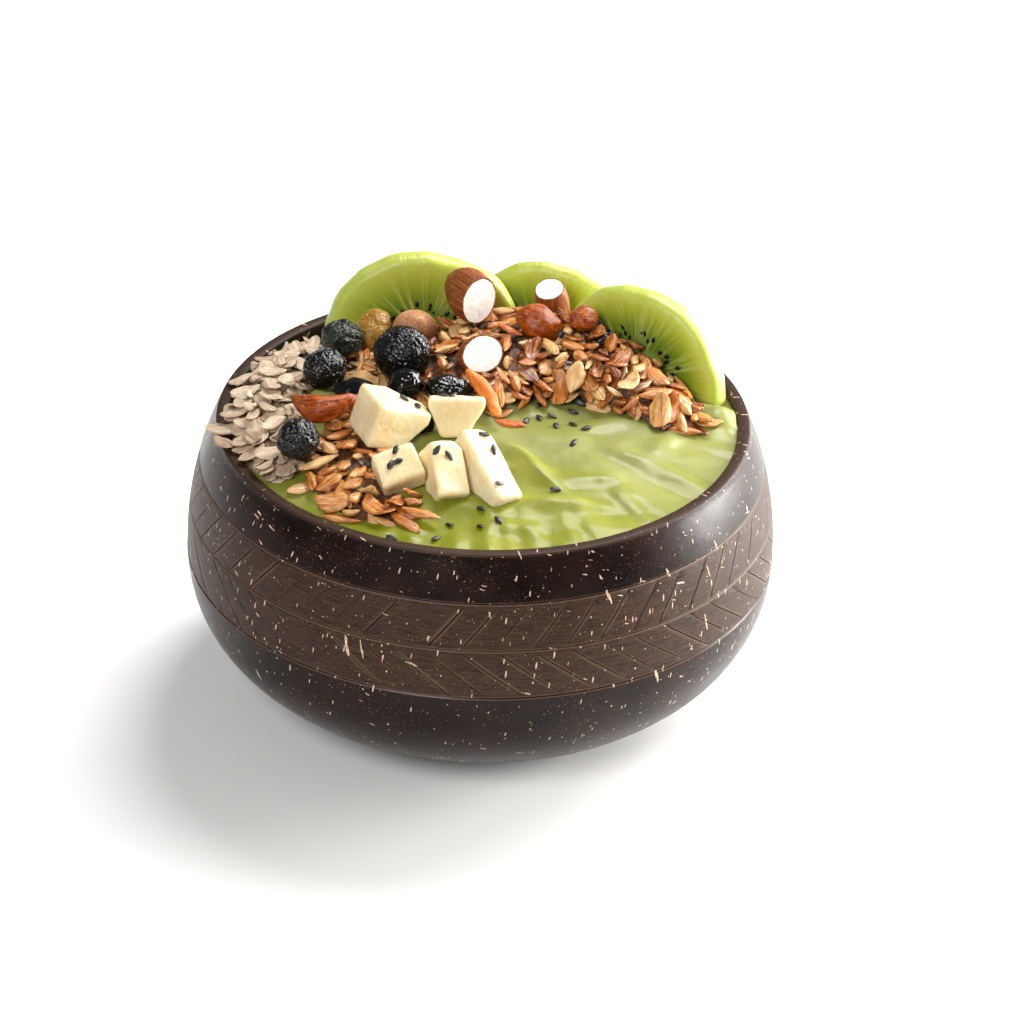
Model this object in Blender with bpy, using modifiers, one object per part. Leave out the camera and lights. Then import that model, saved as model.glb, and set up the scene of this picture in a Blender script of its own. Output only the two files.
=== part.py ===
"""Smoothie bowl: a polished coconut-shell bowl filled with thick green smoothie and its toppings.

Three kiwi slices stand along the back wall. Toasted granola, raw oats, dried dark berries,
fruit chunks, nuts and black sesame lie on the smoothie in front of them.
The origin is the centre of the bowl's foot, +Z is up, and -Y is the side with the open smoothie.
Sizes are written in millimetres and turned into metres by MM.
"""

import math
import random

import bmesh
import bpy
from mathutils import Euler, Matrix, Vector, noise
from mathutils.bvhtree import BVHTree

MM = 0.001
TURN_STEPS = 40
FINE = 1e-6
NEIGHBOUR_GAP = 0.3 * MM

# Coconut shell: half ellipses that meet at its widest ring, cut flat at the rim and the foot.
BOWL_HEIGHT = 71.0 * MM
WIDEST_Z = 39.0 * MM
LOWER_POWER = 2.3
OUTER_RADIUS = 70.0 * MM
OUTER_RISE = 72.0 * MM
OUTER_DROP = 42.1 * MM
INNER_RADIUS = 65.8 * MM
INNER_RISE = 76.0 * MM
INNER_DROP = 32.0 * MM
RIM_ROUND = 0.6 * MM
WALL_STEPS_ABOVE = 3
WALL_STEPS_BELOW = 5

# Smoothie: filled to just under the rim, gently domed, lower at the back left wall.
FILL_EDGE_Z = 69.6 * MM
FILL_RADIUS = 59.6 * MM
DOME_RISE = 5.0 * MM
FOLD_DEPTH = 0.7 * MM
FOLD_LENGTH = 15.0 * MM
FOLD_STRETCH = 1.6
BACK_DIP = 6.0 * MM
BACK_DIP_ANGLE = 140.0
BACK_DIP_SPREAD = 26.0
WALL_SMEAR = (56.0 * MM, 3.0 * MM)
WALL_SMEAR_REACH = 5.0 * MM
WALL_SMEAR_RISE = 3.2 * MM
SURFACE_RINGS = 10

# Kiwi slices: name, centre, half width, half height, thickness, yaw, lean and roll in degrees.
KIWI_SLICES = (
    ("kiwi_slice_left", (-15.2, 41.6, 70.4), 24.2, 21.6, 6.0, 5.0, 1.0, -8.0),
    ("kiwi_slice_middle", (14.8, 48.6, 64.6), 21.4, 21.4, 5.0, -12.0, 6.5, 0.0),
    ("kiwi_slice_right", (37.5, 23.1, 71.4), 22.5, 22.0, 6.2, -32.4, 2.5, 10.0),
)
KIWI_SEGMENTS = 32
KIWI_EDGE = 1.0 * MM
KIWI_LOBES = ((3, 0.006, 0.6), (5, 0.010, 2.1), (7, 0.006, 0.3))

# Rounded toppings: name, material, half sizes, centre, rotation in degrees, wrinkle, bend.
PEBBLES = (
    ("berry_back_left", "berry", (5.1, 4.8, 4.6), (-34.2, 18.2, 81.0), (0, 10, 30), 0.09, 0.0),
    ("berry_left", "berry", (5.5, 5.2, 5.1), (-37.6, 3.2, 81.0), (20, 0, 70), 0.10, 0.0),
    ("berry_flat", "berry", (6.8, 4.0, 3.2), (-28.4, -4.2, 78.8), (0, 4, -14), 0.12, 0.0),
    ("berry_big", "berry", (6.9, 6.6, 6.4), (-19.6, 9.6, 82.4), (10, 0, 0), 0.08, 0.0),
    ("berry_middle", "berry", (4.2, 3.8, 3.7), (-18.2, -2.4, 80.8), (0, 20, 40), 0.12, 0.0),
    ("berry_right", "berry", (5.4, 3.8, 3.1), (-8.4, -2.8, 80.0), (0, 6, 4), 0.11, 0.0),
    ("berry_front", "berry", (5.0, 5.0, 4.7), (-42.4, -26.0, 78.4), (30, 0, 0), 0.11, 0.0),
    ("berry_low", "berry", (3.0, 2.9, 2.9), (-14.3, -12.2, 75.6), (0, 0, 50), 0.10, 0.0),
    ("cashew", "cashew", (8.0, 3.3, 3.1), (-37.4, -11.6, 79.6), (0, 8, 172), 0.03, 0.9),
    ("nut_whole", "almond", (5.7, 4.3, 4.0), (12.6, 22.3, 84.5), (0, 24, -12), 0.05, 0.0),
    ("nut_small", "almond", (3.7, 3.1, 2.9), (23.2, 20.6, 87.2), (0, 10, 20), 0.05, 0.0),
    ("dried_fruit", "dried_fruit", (6.0, 4.0, 3.4), (-27.0, 26.6, 79.4), (0, -20, 70), 0.10, 0.0),
    ("fruit_sliver", "sliver", (7.6, 1.9, 1.6), (0.1, -4.6, 80.4), (0, 21, -57), 0.03, 0.12),
)
PEBBLE_TURNS = 10
PEBBLE_ROWS = 7
WRINKLE_SCALE = 0.55
BEND_MIDDLE = 0.35
BEND_DEPTH = 0.7

# Almonds, cut across: name, half sizes, centre of the cut, direction that the cut faces,
# spin of the nut about that direction in degrees, and how far along the nut the cut lies.
CUT_ALMONDS = (
    ("almond_half_upright", (10.5, 6.4, 5.0), (-1.8, 25.0, 88.6), (0.50, -0.83, 0.05), 80, 0.35),
    ("almond_half_front", (9.0, 5.4, 4.6), (-0.6, 6.8, 84.2), (0.30, -0.80, 0.52), 15, 0.25),
    ("almond_half_back", (10.0, 4.0, 3.7), (15.0, 37.0, 86.0), (-0.22, -0.34, 0.92), 20, 0.40),
    ("almond_left", (10.0, 5.4, 4.4), (-17.6, 31.0, 76.0), (-0.1, 0.75, -0.65), 10, 0.55),
)
ALMOND_TAPER = 0.30

# Soft fruit chunks: name, size, centre, rotation in degrees, the knife's cuts, and the black sesame
# on the top face as fractions of its half width and half depth. A cut is the direction that it
# faces and how far it lies from the centre.
CHUNKS = (
    ("fruit_chunk_big", (13.4, 12.5, 10.5), (-21.8, -15.5, 78.7), (0, 20, 24),
     (((0.7, 0.7, 0.15), 5.0), ((0.85, 0.0, -0.5), 4.4)), ((0.25, 0.0), (0.62, -0.45))),
    ("fruit_chunk_back", (13.0, 5.5, 9.0), (-6.2, -14.0, 79.0), (-20, 0, 2),
     (((-0.9, 0.0, -0.4), 5.0), ((0.85, 0.0, -0.5), 4.2)), ((-0.50, 0.0), (-0.15, 0.0))),
    ("fruit_chunk_front", (10.0, 8.8, 6.0), (-19.1, -35.6, 76.8), (28, -14, 18),
     (), ((-0.35, 0.0), (0.0, 0.05), (0.15, 0.75))),
    ("fruit_chunk_middle", (7.6, 13.6, 7.5), (-8.5, -35.6, 76.0), (38, 8, 22),
     (((0.8, 0.6, 0.0), 5.8),), ((0.0, 0.40), (-0.70, 0.62))),
    ("fruit_chunk_long", (7.5, 20.5, 9.0), (0.7, -33.6, 74.9), (24, 12, 34),
     (((0.6, 0.8, 0.3), 9.8),), ((0.35, 0.75), (0.40, 0.30), (-0.55, -0.65))),
)
CHUNK_EDGE = 0.9 * MM

# Heaps lie along a spine of rows: x, y, half width, height above the smoothie.
GRANOLA_BACK = ((-38.0, 12.0, 13.0, 6.5), (-18.0, 17.0, 20.0, 8.5), (-1.0, 17.0, 22.0, 9.0),
                (13.0, 24.0, 19.0, 10.5), (30.0, 14.0, 19.0, 12.5), (50.0, -5.0, 13.0, 6.0))
GRANOLA_FRONT = ((-26.0, -8.0, 9.0, 5.0), (-31.0, -21.0, 9.0, 4.0), (-28.0, -38.0, 10.0, 4.0),
                 (-15.0, -48.0, 8.5, 3.0))
OATS = ((-41.0, 34.0, 7.0, 12.0), (-48.0, 18.0, 9.0, 9.0), (-51.0, -2.0, 9.0, 7.5),
        (-48.0, -22.0, 8.0, 5.5), (-46.0, -32.0, 6.0, 4.0))
HEAP_TURNS = 16
HEAP_ROWS = 11
HEAP_ROOT = 5.0 * MM
HEAP_BUMP = 0.5 * MM
HEAP_BUMP_LENGTH = 6.0 * MM
SPINE_STEP = 0.02

# Flakes: half sizes of one, and for each heap its spine, material, flake, most flakes and seed.
GRANOLA_FLAKE = (4.3, 1.9, 1.1)
OAT_FLAKE = (4.2, 2.9, 0.75)
HEAPS = (
    ("granola_back", GRANOLA_BACK, "granola", GRANOLA_FLAKE, 37, 27),
    ("granola_front", GRANOLA_FRONT, "granola", GRANOLA_FLAKE, 15, 28),
    ("oats", OATS, "oats", OAT_FLAKE, 22, 29),
)
FLAKE_TURNS = 5
FLAKE_ROWS = 3
FLAKE_SIZE_RANGE = (0.8, 1.15)
FLAKE_TAPER = 0.35
FLAKE_TIP = 32.0

# A flake that crosses a neighbour is tried again: lift in half thicknesses, share of its tilt.
FLAKE_TRIES = ((0.4, 1.0), (0.8, 0.7), (1.1, 0.4), (1.4, 0.15), (0.8, 0.0))

# Flakes are spread by two steps round the heap's length and width, which never repeat.
SPREAD_ALONG = 0.7549
SPREAD_ACROSS = 0.5698
SPREAD_END = 0.95
SPREAD_SIDE = 0.04
SPREAD_TRIES = 3
CORE_REACH = 2.0 * MM
STEEPEST_NORMAL_Z = 0.1

# Single oat flakes that reach over the rim: x, y, z and spin in degrees.
RIM_OAT_FLAKES = ((-58.6, -5.0, 72.6, 8), (-52.4, -27.4, 72.8, 205), (-56.6, 4.0, 74.4, 150))
RIM_OAT_SEED = 2

# Black sesame that lies on the open smoothie: x and y.
SESAME_SPOTS = ((0, -45), (0, -51), (4, -49), (-7, -50), (-10, -55), (-20, -55), (13, 0), (13, -5),
                (16, -4), (10, -7), (17, -9), (21, -8), (24, -10), (21, -17), (17, -36), (21, -1))
SESAME_SIZE = (1.65, 0.95, 0.60)
SESAME_SEED = 6

COLOURS = {
    "bowl": ((0.055, 0.035, 0.026), 0.32),
    "smoothie": ((0.42, 0.50, 0.09), 0.35),
    "kiwi": ((0.36, 0.50, 0.05), 0.35),
    "berry": ((0.012, 0.012, 0.018), 0.30),
    "chunk": ((0.83, 0.74, 0.46), 0.45),
    "almond": ((0.30, 0.11, 0.04), 0.55),
    "cashew": ((0.50, 0.18, 0.06), 0.50),
    "dried_fruit": ((0.35, 0.20, 0.05), 0.40),
    "sliver": ((0.62, 0.20, 0.04), 0.45),
    "granola": ((0.48, 0.25, 0.10), 0.60),
    "oats": ((0.68, 0.53, 0.40), 0.75),
}


def clear_scene():
    for obj in list(bpy.data.objects):
        bpy.data.objects.remove(obj, do_unlink=True)


def make_collection(name):
    collection = bpy.data.collections.new(name)
    bpy.context.scene.collection.children.link(collection)
    return collection


def make_materials():
    materials = {}
    for name, (colour, roughness) in COLOURS.items():
        material = bpy.data.materials.new(name)
        material.use_nodes = True
        shader = material.node_tree.nodes["Principled BSDF"]
        shader.inputs["Base Color"].default_value = (*colour, 1.0)
        shader.inputs["Roughness"].default_value = roughness
        shader.inputs["Metallic"].default_value = 0.0
        materials[name] = material
    return materials


def add_object(name, mesh, collection, material=None, place=None):
    obj = bpy.data.objects.new(name, mesh)
    if place is not None:
        obj.location = place.to_translation()
        obj.rotation_euler = place.to_euler()
    if material is not None:
        mesh.materials.append(material)
    collection.objects.link(obj)
    return obj


def placed(centre, rotation_degrees):
    """A matrix from a centre in millimetres and a rotation in degrees."""
    turn = Euler([math.radians(angle) for angle in rotation_degrees])
    return Matrix.Translation(Vector(centre) * MM) @ turn.to_matrix().to_4x4()


def mesh_from(name, bm):
    """A mesh in a fixed order, because the sphere operator's own order varies from run to run."""
    bmesh.ops.recalc_face_normals(bm, faces=bm.faces[:])
    verts = sorted(bm.verts, key=lambda vert: vert.co[:])
    for index, vert in enumerate(verts):
        vert.index = index
    faces = []
    for face in bm.faces:
        ring = [vert.index for vert in face.verts]
        start = ring.index(min(ring))
        faces.append(ring[start:] + ring[:start])
    mesh = bpy.data.meshes.new(name)
    mesh.from_pydata([vert.co for vert in verts], [], sorted(faces))
    bm.free()
    mesh.shade_smooth()
    return mesh


def bake(obj):
    """Replace an object's mesh by its evaluated mesh and drop the modifiers."""
    graph = bpy.context.evaluated_depsgraph_get()
    mesh = bpy.data.meshes.new_from_object(obj.evaluated_get(graph))
    obj.modifiers.clear()
    obj.data = mesh
    return obj


def keep_largest_body(obj):
    """Drop loose scraps and the walls of sealed hollows, and leave one clean closed body."""
    bm = bmesh.new()
    bm.from_mesh(obj.data)
    bmesh.ops.triangulate(bm, faces=bm.faces[:])
    bm.faces.ensure_lookup_table()
    bodies = []
    unseen = set(bm.faces)
    while unseen:
        body = {unseen.pop()}
        front = list(body)
        while front:
            face = front.pop()
            linked = {other for edge in face.edges for other in edge.link_faces}
            fresh = linked & unseen
            unseen -= fresh
            body |= fresh
            front.extend(fresh)
        bodies.append(body)
    bodies.sort(key=len)
    scraps = [face for body in bodies[:-1] for face in body]
    bmesh.ops.delete(bm, geom=scraps, context="FACES")
    bm.to_mesh(obj.data)
    bm.free()


def shell_outline(radius, rise, drop, low_z, top_z):
    """Points of a shell's wall from low_z up to top_z, as (radius, z)."""
    points = []
    low_turn = math.asin(min(1.0, (WIDEST_Z - low_z) / drop) ** (LOWER_POWER / 2))
    for step in range(WALL_STEPS_BELOW):
        turn = low_turn * (1 - step / WALL_STEPS_BELOW)
        out = math.cos(turn) ** (2 / LOWER_POWER) * radius
        points.append((out, WIDEST_Z - math.sin(turn) ** (2 / LOWER_POWER) * drop))
    top_turn = math.asin((top_z - WIDEST_Z) / rise)
    for step in range(WALL_STEPS_ABOVE + 1):
        turn = top_turn * step / WALL_STEPS_ABOVE
        points.append((math.cos(turn) * radius, WIDEST_Z + math.sin(turn) * rise))
    return points


def inner_wall():
    return shell_outline(INNER_RADIUS, INNER_RISE, INNER_DROP, WIDEST_Z - INNER_DROP,
                         BOWL_HEIGHT - RIM_ROUND)


def turned_mesh(name, profile, collection, material=None):
    """A turned solid. The profile runs down its outer side and starts and ends on the axis."""
    mesh = bpy.data.meshes.new(name)
    points = [(radius, 0.0, z) for radius, z in profile]
    mesh.from_pydata(points, [(i, i + 1) for i in range(len(points) - 1)], [])
    obj = add_object(name, mesh, collection, material)
    screw = obj.modifiers.new("turn", "SCREW")
    screw.steps = TURN_STEPS
    screw.render_steps = TURN_STEPS
    screw.use_merge_vertices = True
    screw.merge_threshold = FINE
    screw.use_smooth_shade = True
    return bake(obj)


def build_bowl(collection, materials):
    outer = shell_outline(OUTER_RADIUS, OUTER_RISE, OUTER_DROP, 0.0, BOWL_HEIGHT - RIM_ROUND)
    inner = inner_wall()
    profile = list(inner)
    profile.append((inner[-1][0] + RIM_ROUND, BOWL_HEIGHT))
    profile.append((outer[-1][0] - RIM_ROUND, BOWL_HEIGHT))
    profile.extend(reversed(outer))
    profile.append((0.0, 0.0))
    return turned_mesh("bowl", profile, collection, materials["bowl"])


def inset_line(points, distance):
    """Move a line of (radius, z) points towards the axis side by a distance."""
    moved = []
    for index, (radius, z) in enumerate(points):
        before = points[max(index - 1, 0)]
        after = points[min(index + 1, len(points) - 1)]
        along = Vector((after[0] - before[0], after[1] - before[1])).normalized()
        moved.append((max(radius - along.y * distance, 0.0), z + along.x * distance))
    return moved


def edge_dip(x, y):
    """How far the smoothie lies lower at the back left wall."""
    off = math.degrees(math.atan2(y, x)) - BACK_DIP_ANGLE
    return BACK_DIP * math.exp(-(off / BACK_DIP_SPREAD) ** 2)


def surface_z(x, y):
    """Height of the smoothie's surface at x, y."""
    reach = min(math.hypot(x, y) / FILL_RADIUS, 1.0)
    ripple = noise.noise(Vector((x / FOLD_LENGTH, FOLD_STRETCH * y / FOLD_LENGTH, 0.0)))
    folds = ripple * FOLD_DEPTH
    smear_off = math.hypot(x - WALL_SMEAR[0], y - WALL_SMEAR[1]) / WALL_SMEAR_REACH
    smear = WALL_SMEAR_RISE * math.exp(-smear_off ** 2)
    dome = DOME_RISE * (1 - reach ** 2)
    return FILL_EDGE_Z - edge_dip(x, y) * reach ** 3 + dome + smear + folds * (1 - reach ** 6)


def wall_radius(line, z):
    """Radius of a (radius, z) line at a height."""
    for (low_radius, low_z), (high_radius, high_z) in zip(line, line[1:]):
        if z <= high_z:
            share = (z - low_z) / (high_z - low_z)
            return low_radius + share * (high_radius - low_radius)
    return line[-1][0]


def build_smoothie(collection, materials):
    """A turned filling whose top face is then lifted to the surface."""
    wall = inset_line(inner_wall(), NEIGHBOUR_GAP)
    wall[0] = (0.0, wall[0][1])
    side = [point for point in wall if point[1] < FILL_EDGE_Z - BACK_DIP - RIM_ROUND]
    edge_radius = wall_radius(wall, FILL_EDGE_Z)
    top = [(edge_radius * ring / SURFACE_RINGS, FILL_EDGE_Z) for ring in range(SURFACE_RINGS + 1)]
    smoothie = turned_mesh("smoothie", top + list(reversed(side)), collection,
                           materials["smoothie"])
    for vertex in smoothie.data.vertices:
        x, y, z = vertex.co
        if z < FILL_EDGE_Z - FINE:
            continue
        height = surface_z(x, y)
        radius = math.hypot(x, y)
        if radius > edge_radius - FINE:
            height = FILL_EDGE_Z - edge_dip(x, y)
            scale = wall_radius(wall, height) / radius
            vertex.co = (x * scale, y * scale, height)
        else:
            vertex.co.z = height
    return smoothie


def build_kiwi_slice(row, collection, materials):
    name, centre, half_width, half_height, thickness, yaw, lean, roll = row
    bm = bmesh.new()
    bmesh.ops.create_cone(bm, cap_ends=True, segments=KIWI_SEGMENTS, radius1=1.0, radius2=1.0,
                          depth=thickness * MM)
    for vert in bm.verts:
        angle = math.atan2(vert.co.y, vert.co.x)
        lobes = 1 + sum(size * math.cos(count * angle + shift) for count, size, shift in KIWI_LOBES)
        vert.co.x *= half_width * MM * lobes
        vert.co.y *= half_height * MM * lobes
    mesh = mesh_from(name, bm)
    stand = Euler((math.radians(90 - lean), 0.0, math.radians(yaw))).to_matrix().to_4x4()
    place = (Matrix.Translation(Vector(centre) * MM) @ stand
             @ Matrix.Rotation(math.radians(roll), 4, "Z"))
    kiwi = add_object(name, mesh, collection, materials["kiwi"], place)
    bevel = kiwi.modifiers.new("soft edge", "BEVEL")
    bevel.width = KIWI_EDGE
    bevel.segments = 1
    return bake(kiwi)


def round_body(half_sizes, turns=PEBBLE_TURNS, rows=PEBBLE_ROWS):
    """An ellipsoid whose poles lie along X."""
    bm = bmesh.new()
    bmesh.ops.create_uvsphere(bm, u_segments=turns, v_segments=rows, radius=1.0)
    bmesh.ops.rotate(bm, verts=bm.verts, matrix=Matrix.Rotation(math.pi / 2, 3, "Y"))
    bmesh.ops.scale(bm, verts=bm.verts, vec=Vector(half_sizes) * MM)
    return bm


def build_pebble(row, collection, materials):
    """A berry, nut or sliver: an ellipsoid that is wrinkled and bent along its length."""
    name, material, half_sizes, centre, rotation, wrinkle, bend = row
    bm = round_body(half_sizes)
    length = half_sizes[0] * MM
    shift = Vector(centre)
    for vert in bm.verts:
        spot = vert.co / (length * WRINKLE_SCALE) + shift
        vert.co *= 1 + wrinkle * noise.noise(spot)
        vert.co.y += bend * length * (BEND_MIDDLE - (vert.co.x / length) ** 2) * BEND_DEPTH
    mesh = mesh_from(name, bm)
    return add_object(name, mesh, collection, materials[material], placed(centre, rotation))


def build_cut_almond(row, collection, materials):
    """A pointed almond whose end is cut off flat, placed by the centre of its cut face."""
    name, half_sizes, cut_centre, facing, spin, cut_share = row
    bm = round_body(half_sizes)
    length = half_sizes[0] * MM
    for vert in bm.verts:
        slim = 1 - ALMOND_TAPER * max(-vert.co.x / length, 0.0) ** 2
        vert.co.y *= slim
        vert.co.z *= slim
    cut_x = cut_share * length
    whole = bm.verts[:] + bm.edges[:] + bm.faces[:]
    bmesh.ops.bisect_plane(bm, geom=whole, plane_co=(cut_x, 0, 0), plane_no=(1, 0, 0),
                           clear_outer=True)
    rim = [edge for edge in bm.edges if edge.is_boundary]
    bmesh.ops.contextual_create(bm, geom=rim)
    bmesh.ops.translate(bm, verts=bm.verts, vec=(-cut_x, 0, 0))
    mesh = mesh_from(name, bm)
    aim = Vector(facing).to_track_quat("X", "Z").to_matrix().to_4x4()
    place = (Matrix.Translation(Vector(cut_centre) * MM) @ aim
             @ Matrix.Rotation(math.radians(spin), 4, "X"))
    return add_object(name, mesh, collection, materials["almond"], place)


def sesame_seed(place, collection):
    bm = bmesh.new()
    bmesh.ops.create_icosphere(bm, subdivisions=1, radius=1.0)
    bmesh.ops.scale(bm, verts=bm.verts, vec=Vector(SESAME_SIZE) * MM)
    return add_object("seed", mesh_from("seed", bm), collection, None, place)


def build_chunk(row, collection, materials):
    """A soft block of fruit, cut by a knife, with its edges rounded."""
    name, size, centre, rotation, cuts, _ = row
    bm = bmesh.new()
    bmesh.ops.create_cube(bm, size=1.0)
    bmesh.ops.scale(bm, verts=bm.verts, vec=Vector(size) * MM)
    for facing, distance in cuts:
        facing = Vector(facing).normalized()
        whole = bm.verts[:] + bm.edges[:] + bm.faces[:]
        bmesh.ops.bisect_plane(bm, geom=whole, plane_co=facing * distance * MM, plane_no=facing,
                               clear_outer=True)
        rim = [edge for edge in bm.edges if edge.is_boundary]
        bmesh.ops.contextual_create(bm, geom=rim)
    mesh = mesh_from(name, bm)
    chunk = add_object(name, mesh, collection, materials["chunk"], placed(centre, rotation))
    bevel = chunk.modifiers.new("soft edge", "BEVEL")
    bevel.width = CHUNK_EDGE
    bevel.segments = 1
    bevel.limit_method = "NONE"
    return bake(chunk)


def world_copy(obj, gap, collection):
    """A cutter: the object in world space, grown by a gap on every side."""
    bm = bmesh.new()
    bm.from_mesh(obj.data)
    bmesh.ops.transform(bm, matrix=obj.matrix_basis, verts=bm.verts)
    grow(bm, gap)
    cutter = add_object("grown_" + obj.name, mesh_from(obj.name, bm), collection)
    cutter.hide_render = True
    cutter.display_type = "WIRE"
    return cutter


def subtract(obj, cutters):
    """Cut an object clear of others. The exact solver loses the curved heap, so this is manifold."""
    for cutter in cutters:
        boolean = obj.modifiers.new("cut", "BOOLEAN")
        boolean.operation = "DIFFERENCE"
        boolean.solver = "MANIFOLD"
        boolean.object = cutter
    bake(obj)
    keep_largest_body(obj)


def spine_point(spine, share):
    """Smooth position along the spine: x, y, half width and height, all in metres."""
    last = len(spine) - 1
    index = min(int(share * last), last - 1)
    t = share * last - index
    rows = [spine[min(max(index + step, 0), last)] for step in (-1, 0, 1, 2)]
    weights = (-t + 2 * t * t - t ** 3, 2 - 5 * t * t + 3 * t ** 3,
               t + 4 * t * t - 3 * t ** 3, -t * t + t ** 3)
    return [sum(w * row[axis] for w, row in zip(weights, rows)) * 0.5 * MM for axis in range(4)]


def heap_point(spine, ball):
    """Map a point of the unit ball (along, across, up) onto the heap."""
    along, across, up = ball
    share = min(max((along + 1) / 2, 0.0), 1.0)
    x, y, half_width, height = spine_point(spine, share)
    ahead = spine_point(spine, min(share + SPINE_STEP, 1.0))
    behind = spine_point(spine, max(share - SPINE_STEP, 0.0))
    side = Vector((behind[1] - ahead[1], ahead[0] - behind[0])).normalized()
    x += side.x * across * half_width
    y += side.y * across * half_width
    bump = noise.noise(Vector((x, y, 0.0)) / HEAP_BUMP_LENGTH) * HEAP_BUMP
    lift = up * height + bump if up > 0 else up * HEAP_ROOT
    return Vector((x, y, surface_z(x, y) + lift))


def build_heap(name, spine, material, collection):
    bm = bmesh.new()
    bmesh.ops.create_uvsphere(bm, u_segments=HEAP_TURNS, v_segments=HEAP_ROWS, radius=1.0)
    for vert in bm.verts:
        vert.co = heap_point(spine, (vert.co.z, vert.co.x, vert.co.y))
    return add_object(name, mesh_from(name, bm), collection, material)


def flake(half_sizes, place, rng, collection):
    """One flake: a flat grain, narrower at one end and a little uneven in size."""
    sizes = [size * rng.uniform(*FLAKE_SIZE_RANGE) for size in half_sizes]
    bm = round_body(sizes, FLAKE_TURNS, FLAKE_ROWS)
    for vert in bm.verts:
        vert.co.y *= 1 - FLAKE_TAPER * vert.co.x / (half_sizes[0] * MM)
    return add_object("flake", mesh_from("flake", bm), collection, None, place)


def grow(bm, gap):
    """Move every face of a closed mesh outwards by a gap."""
    bm.normal_update()
    moves = [vert.normal * gap * vert.calc_shell_factor() for vert in bm.verts]
    for vert, move in zip(bm.verts, moves):
        vert.co += move


def tree_of(obj, gap=0.0):
    bm = bmesh.new()
    bm.from_mesh(obj.data)
    bmesh.ops.transform(bm, matrix=obj.matrix_basis, verts=bm.verts)
    grow(bm, gap)
    tree = BVHTree.FromBMesh(bm)
    bm.free()
    return tree


def is_clear(piece, trees):
    own = tree_of(piece, NEIGHBOUR_GAP)
    return not any(own.overlap(tree) for tree in trees)


def touches(piece, tree):
    return bool(tree_of(piece).overlap(tree))


def heap_spots(spine, count, core_tree):
    """Evenly spread places on the heap, each with the core's surface point and normal."""
    for index in range(count * SPREAD_TRIES):
        along = 2 * SPREAD_END * ((index * SPREAD_ALONG) % 1.0) - SPREAD_END
        across = (index * SPREAD_ACROSS) % 1.0
        turn = math.pi * (SPREAD_SIDE + (1 - 2 * SPREAD_SIDE) * across)
        ring = math.sqrt(1 - along * along)
        point = heap_point(spine, (along, ring * math.cos(turn), ring * math.sin(turn)))
        spot, normal, _, distance = core_tree.find_nearest(point)
        if distance < CORE_REACH and normal.z > STEEPEST_NORMAL_Z:
            yield spot, normal


def scatter_flakes(core, spine, count, half_sizes, seed, obstacles, collection):
    """Flakes that touch the core and cross nothing else."""
    rng = random.Random(seed)
    core_tree = tree_of(core)
    thickness = half_sizes[2] * MM
    for spot, normal in heap_spots(spine, count, core_tree):
        if len(collection.objects) >= count:
            break
        tip = [math.radians(rng.uniform(-FLAKE_TIP, FLAKE_TIP)) for _ in range(2)]
        spin = rng.uniform(0.0, math.tau)
        aim = normal.to_track_quat("Z", "Y").to_matrix().to_4x4()
        for lift, tip_share in FLAKE_TRIES:
            turn = Euler((tip[0] * tip_share, tip[1] * tip_share, spin)).to_matrix().to_4x4()
            place = Matrix.Translation(spot + normal * thickness * lift) @ aim @ turn
            candidate = flake(half_sizes, place, rng, collection)
            if touches(candidate, core_tree) and is_clear(candidate, obstacles):
                break
            bpy.data.objects.remove(candidate)


def place_rim_flakes(core, obstacles, collection):
    """Single oat flakes that reach over the bowl's rim."""
    rng = random.Random(RIM_OAT_SEED)
    core_tree = tree_of(core)
    for x, y, z, spin in RIM_OAT_FLAKES:
        candidate = flake(OAT_FLAKE, placed((x, y, z), (0, 0, spin)), rng, collection)
        if not (touches(candidate, core_tree) and is_clear(candidate, obstacles)):
            bpy.data.objects.remove(candidate)


def fuse(obj, pieces):
    """Join a collection of small pieces to an object by one union, then remove them."""
    boolean = obj.modifiers.new("fuse", "BOOLEAN")
    boolean.operation = "UNION"
    boolean.solver = "MANIFOLD"
    boolean.operand_type = "COLLECTION"
    boolean.collection = pieces
    bake(obj)
    keep_largest_body(obj)
    for piece in list(pieces.objects):
        bpy.data.objects.remove(piece)
    bpy.data.collections.remove(pieces)


def lay_seed(hit, rng, obstacles, collection):
    """Lay one sesame seed flat where a ray has hit, unless it would cross a neighbour."""
    point, normal, _, _ = hit
    aim = normal.to_track_quat("Z", "Y").to_matrix().to_4x4()
    spin = Matrix.Rotation(rng.uniform(0.0, math.tau), 4, "Z")
    seed = sesame_seed(Matrix.Translation(point) @ aim @ spin, collection)
    if not is_clear(seed, obstacles):
        bpy.data.objects.remove(seed)


def seed_chunk(chunk, row, obstacles):
    """Fuse the black sesame onto a chunk's top face."""
    name, size, _, _, _, spots = row
    rng = random.Random(name)
    pieces = make_collection("seeds")
    chunk_tree = tree_of(chunk)
    up = (chunk.matrix_basis.to_3x3() @ Vector((0, 0, 1))).normalized()
    for across, along in spots:
        local = Vector((across * size[0] / 2, along * size[1] / 2, size[2])) * MM
        hit = chunk_tree.ray_cast(chunk.matrix_basis @ local, -up)
        lay_seed(hit, rng, obstacles, pieces)
    bpy.context.view_layer.update()
    fuse(chunk, pieces)


def seed_smoothie(smoothie, obstacles):
    """Fuse the black sesame that lies on the open smoothie."""
    rng = random.Random(SESAME_SEED)
    pieces = make_collection("seeds")
    smoothie_tree = tree_of(smoothie)
    for x, y in SESAME_SPOTS:
        hit = smoothie_tree.ray_cast(Vector((x * MM, y * MM, BOWL_HEIGHT * 2)), Vector((0, 0, -1)))
        lay_seed(hit, rng, obstacles, pieces)
    fuse(smoothie, pieces)


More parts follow.
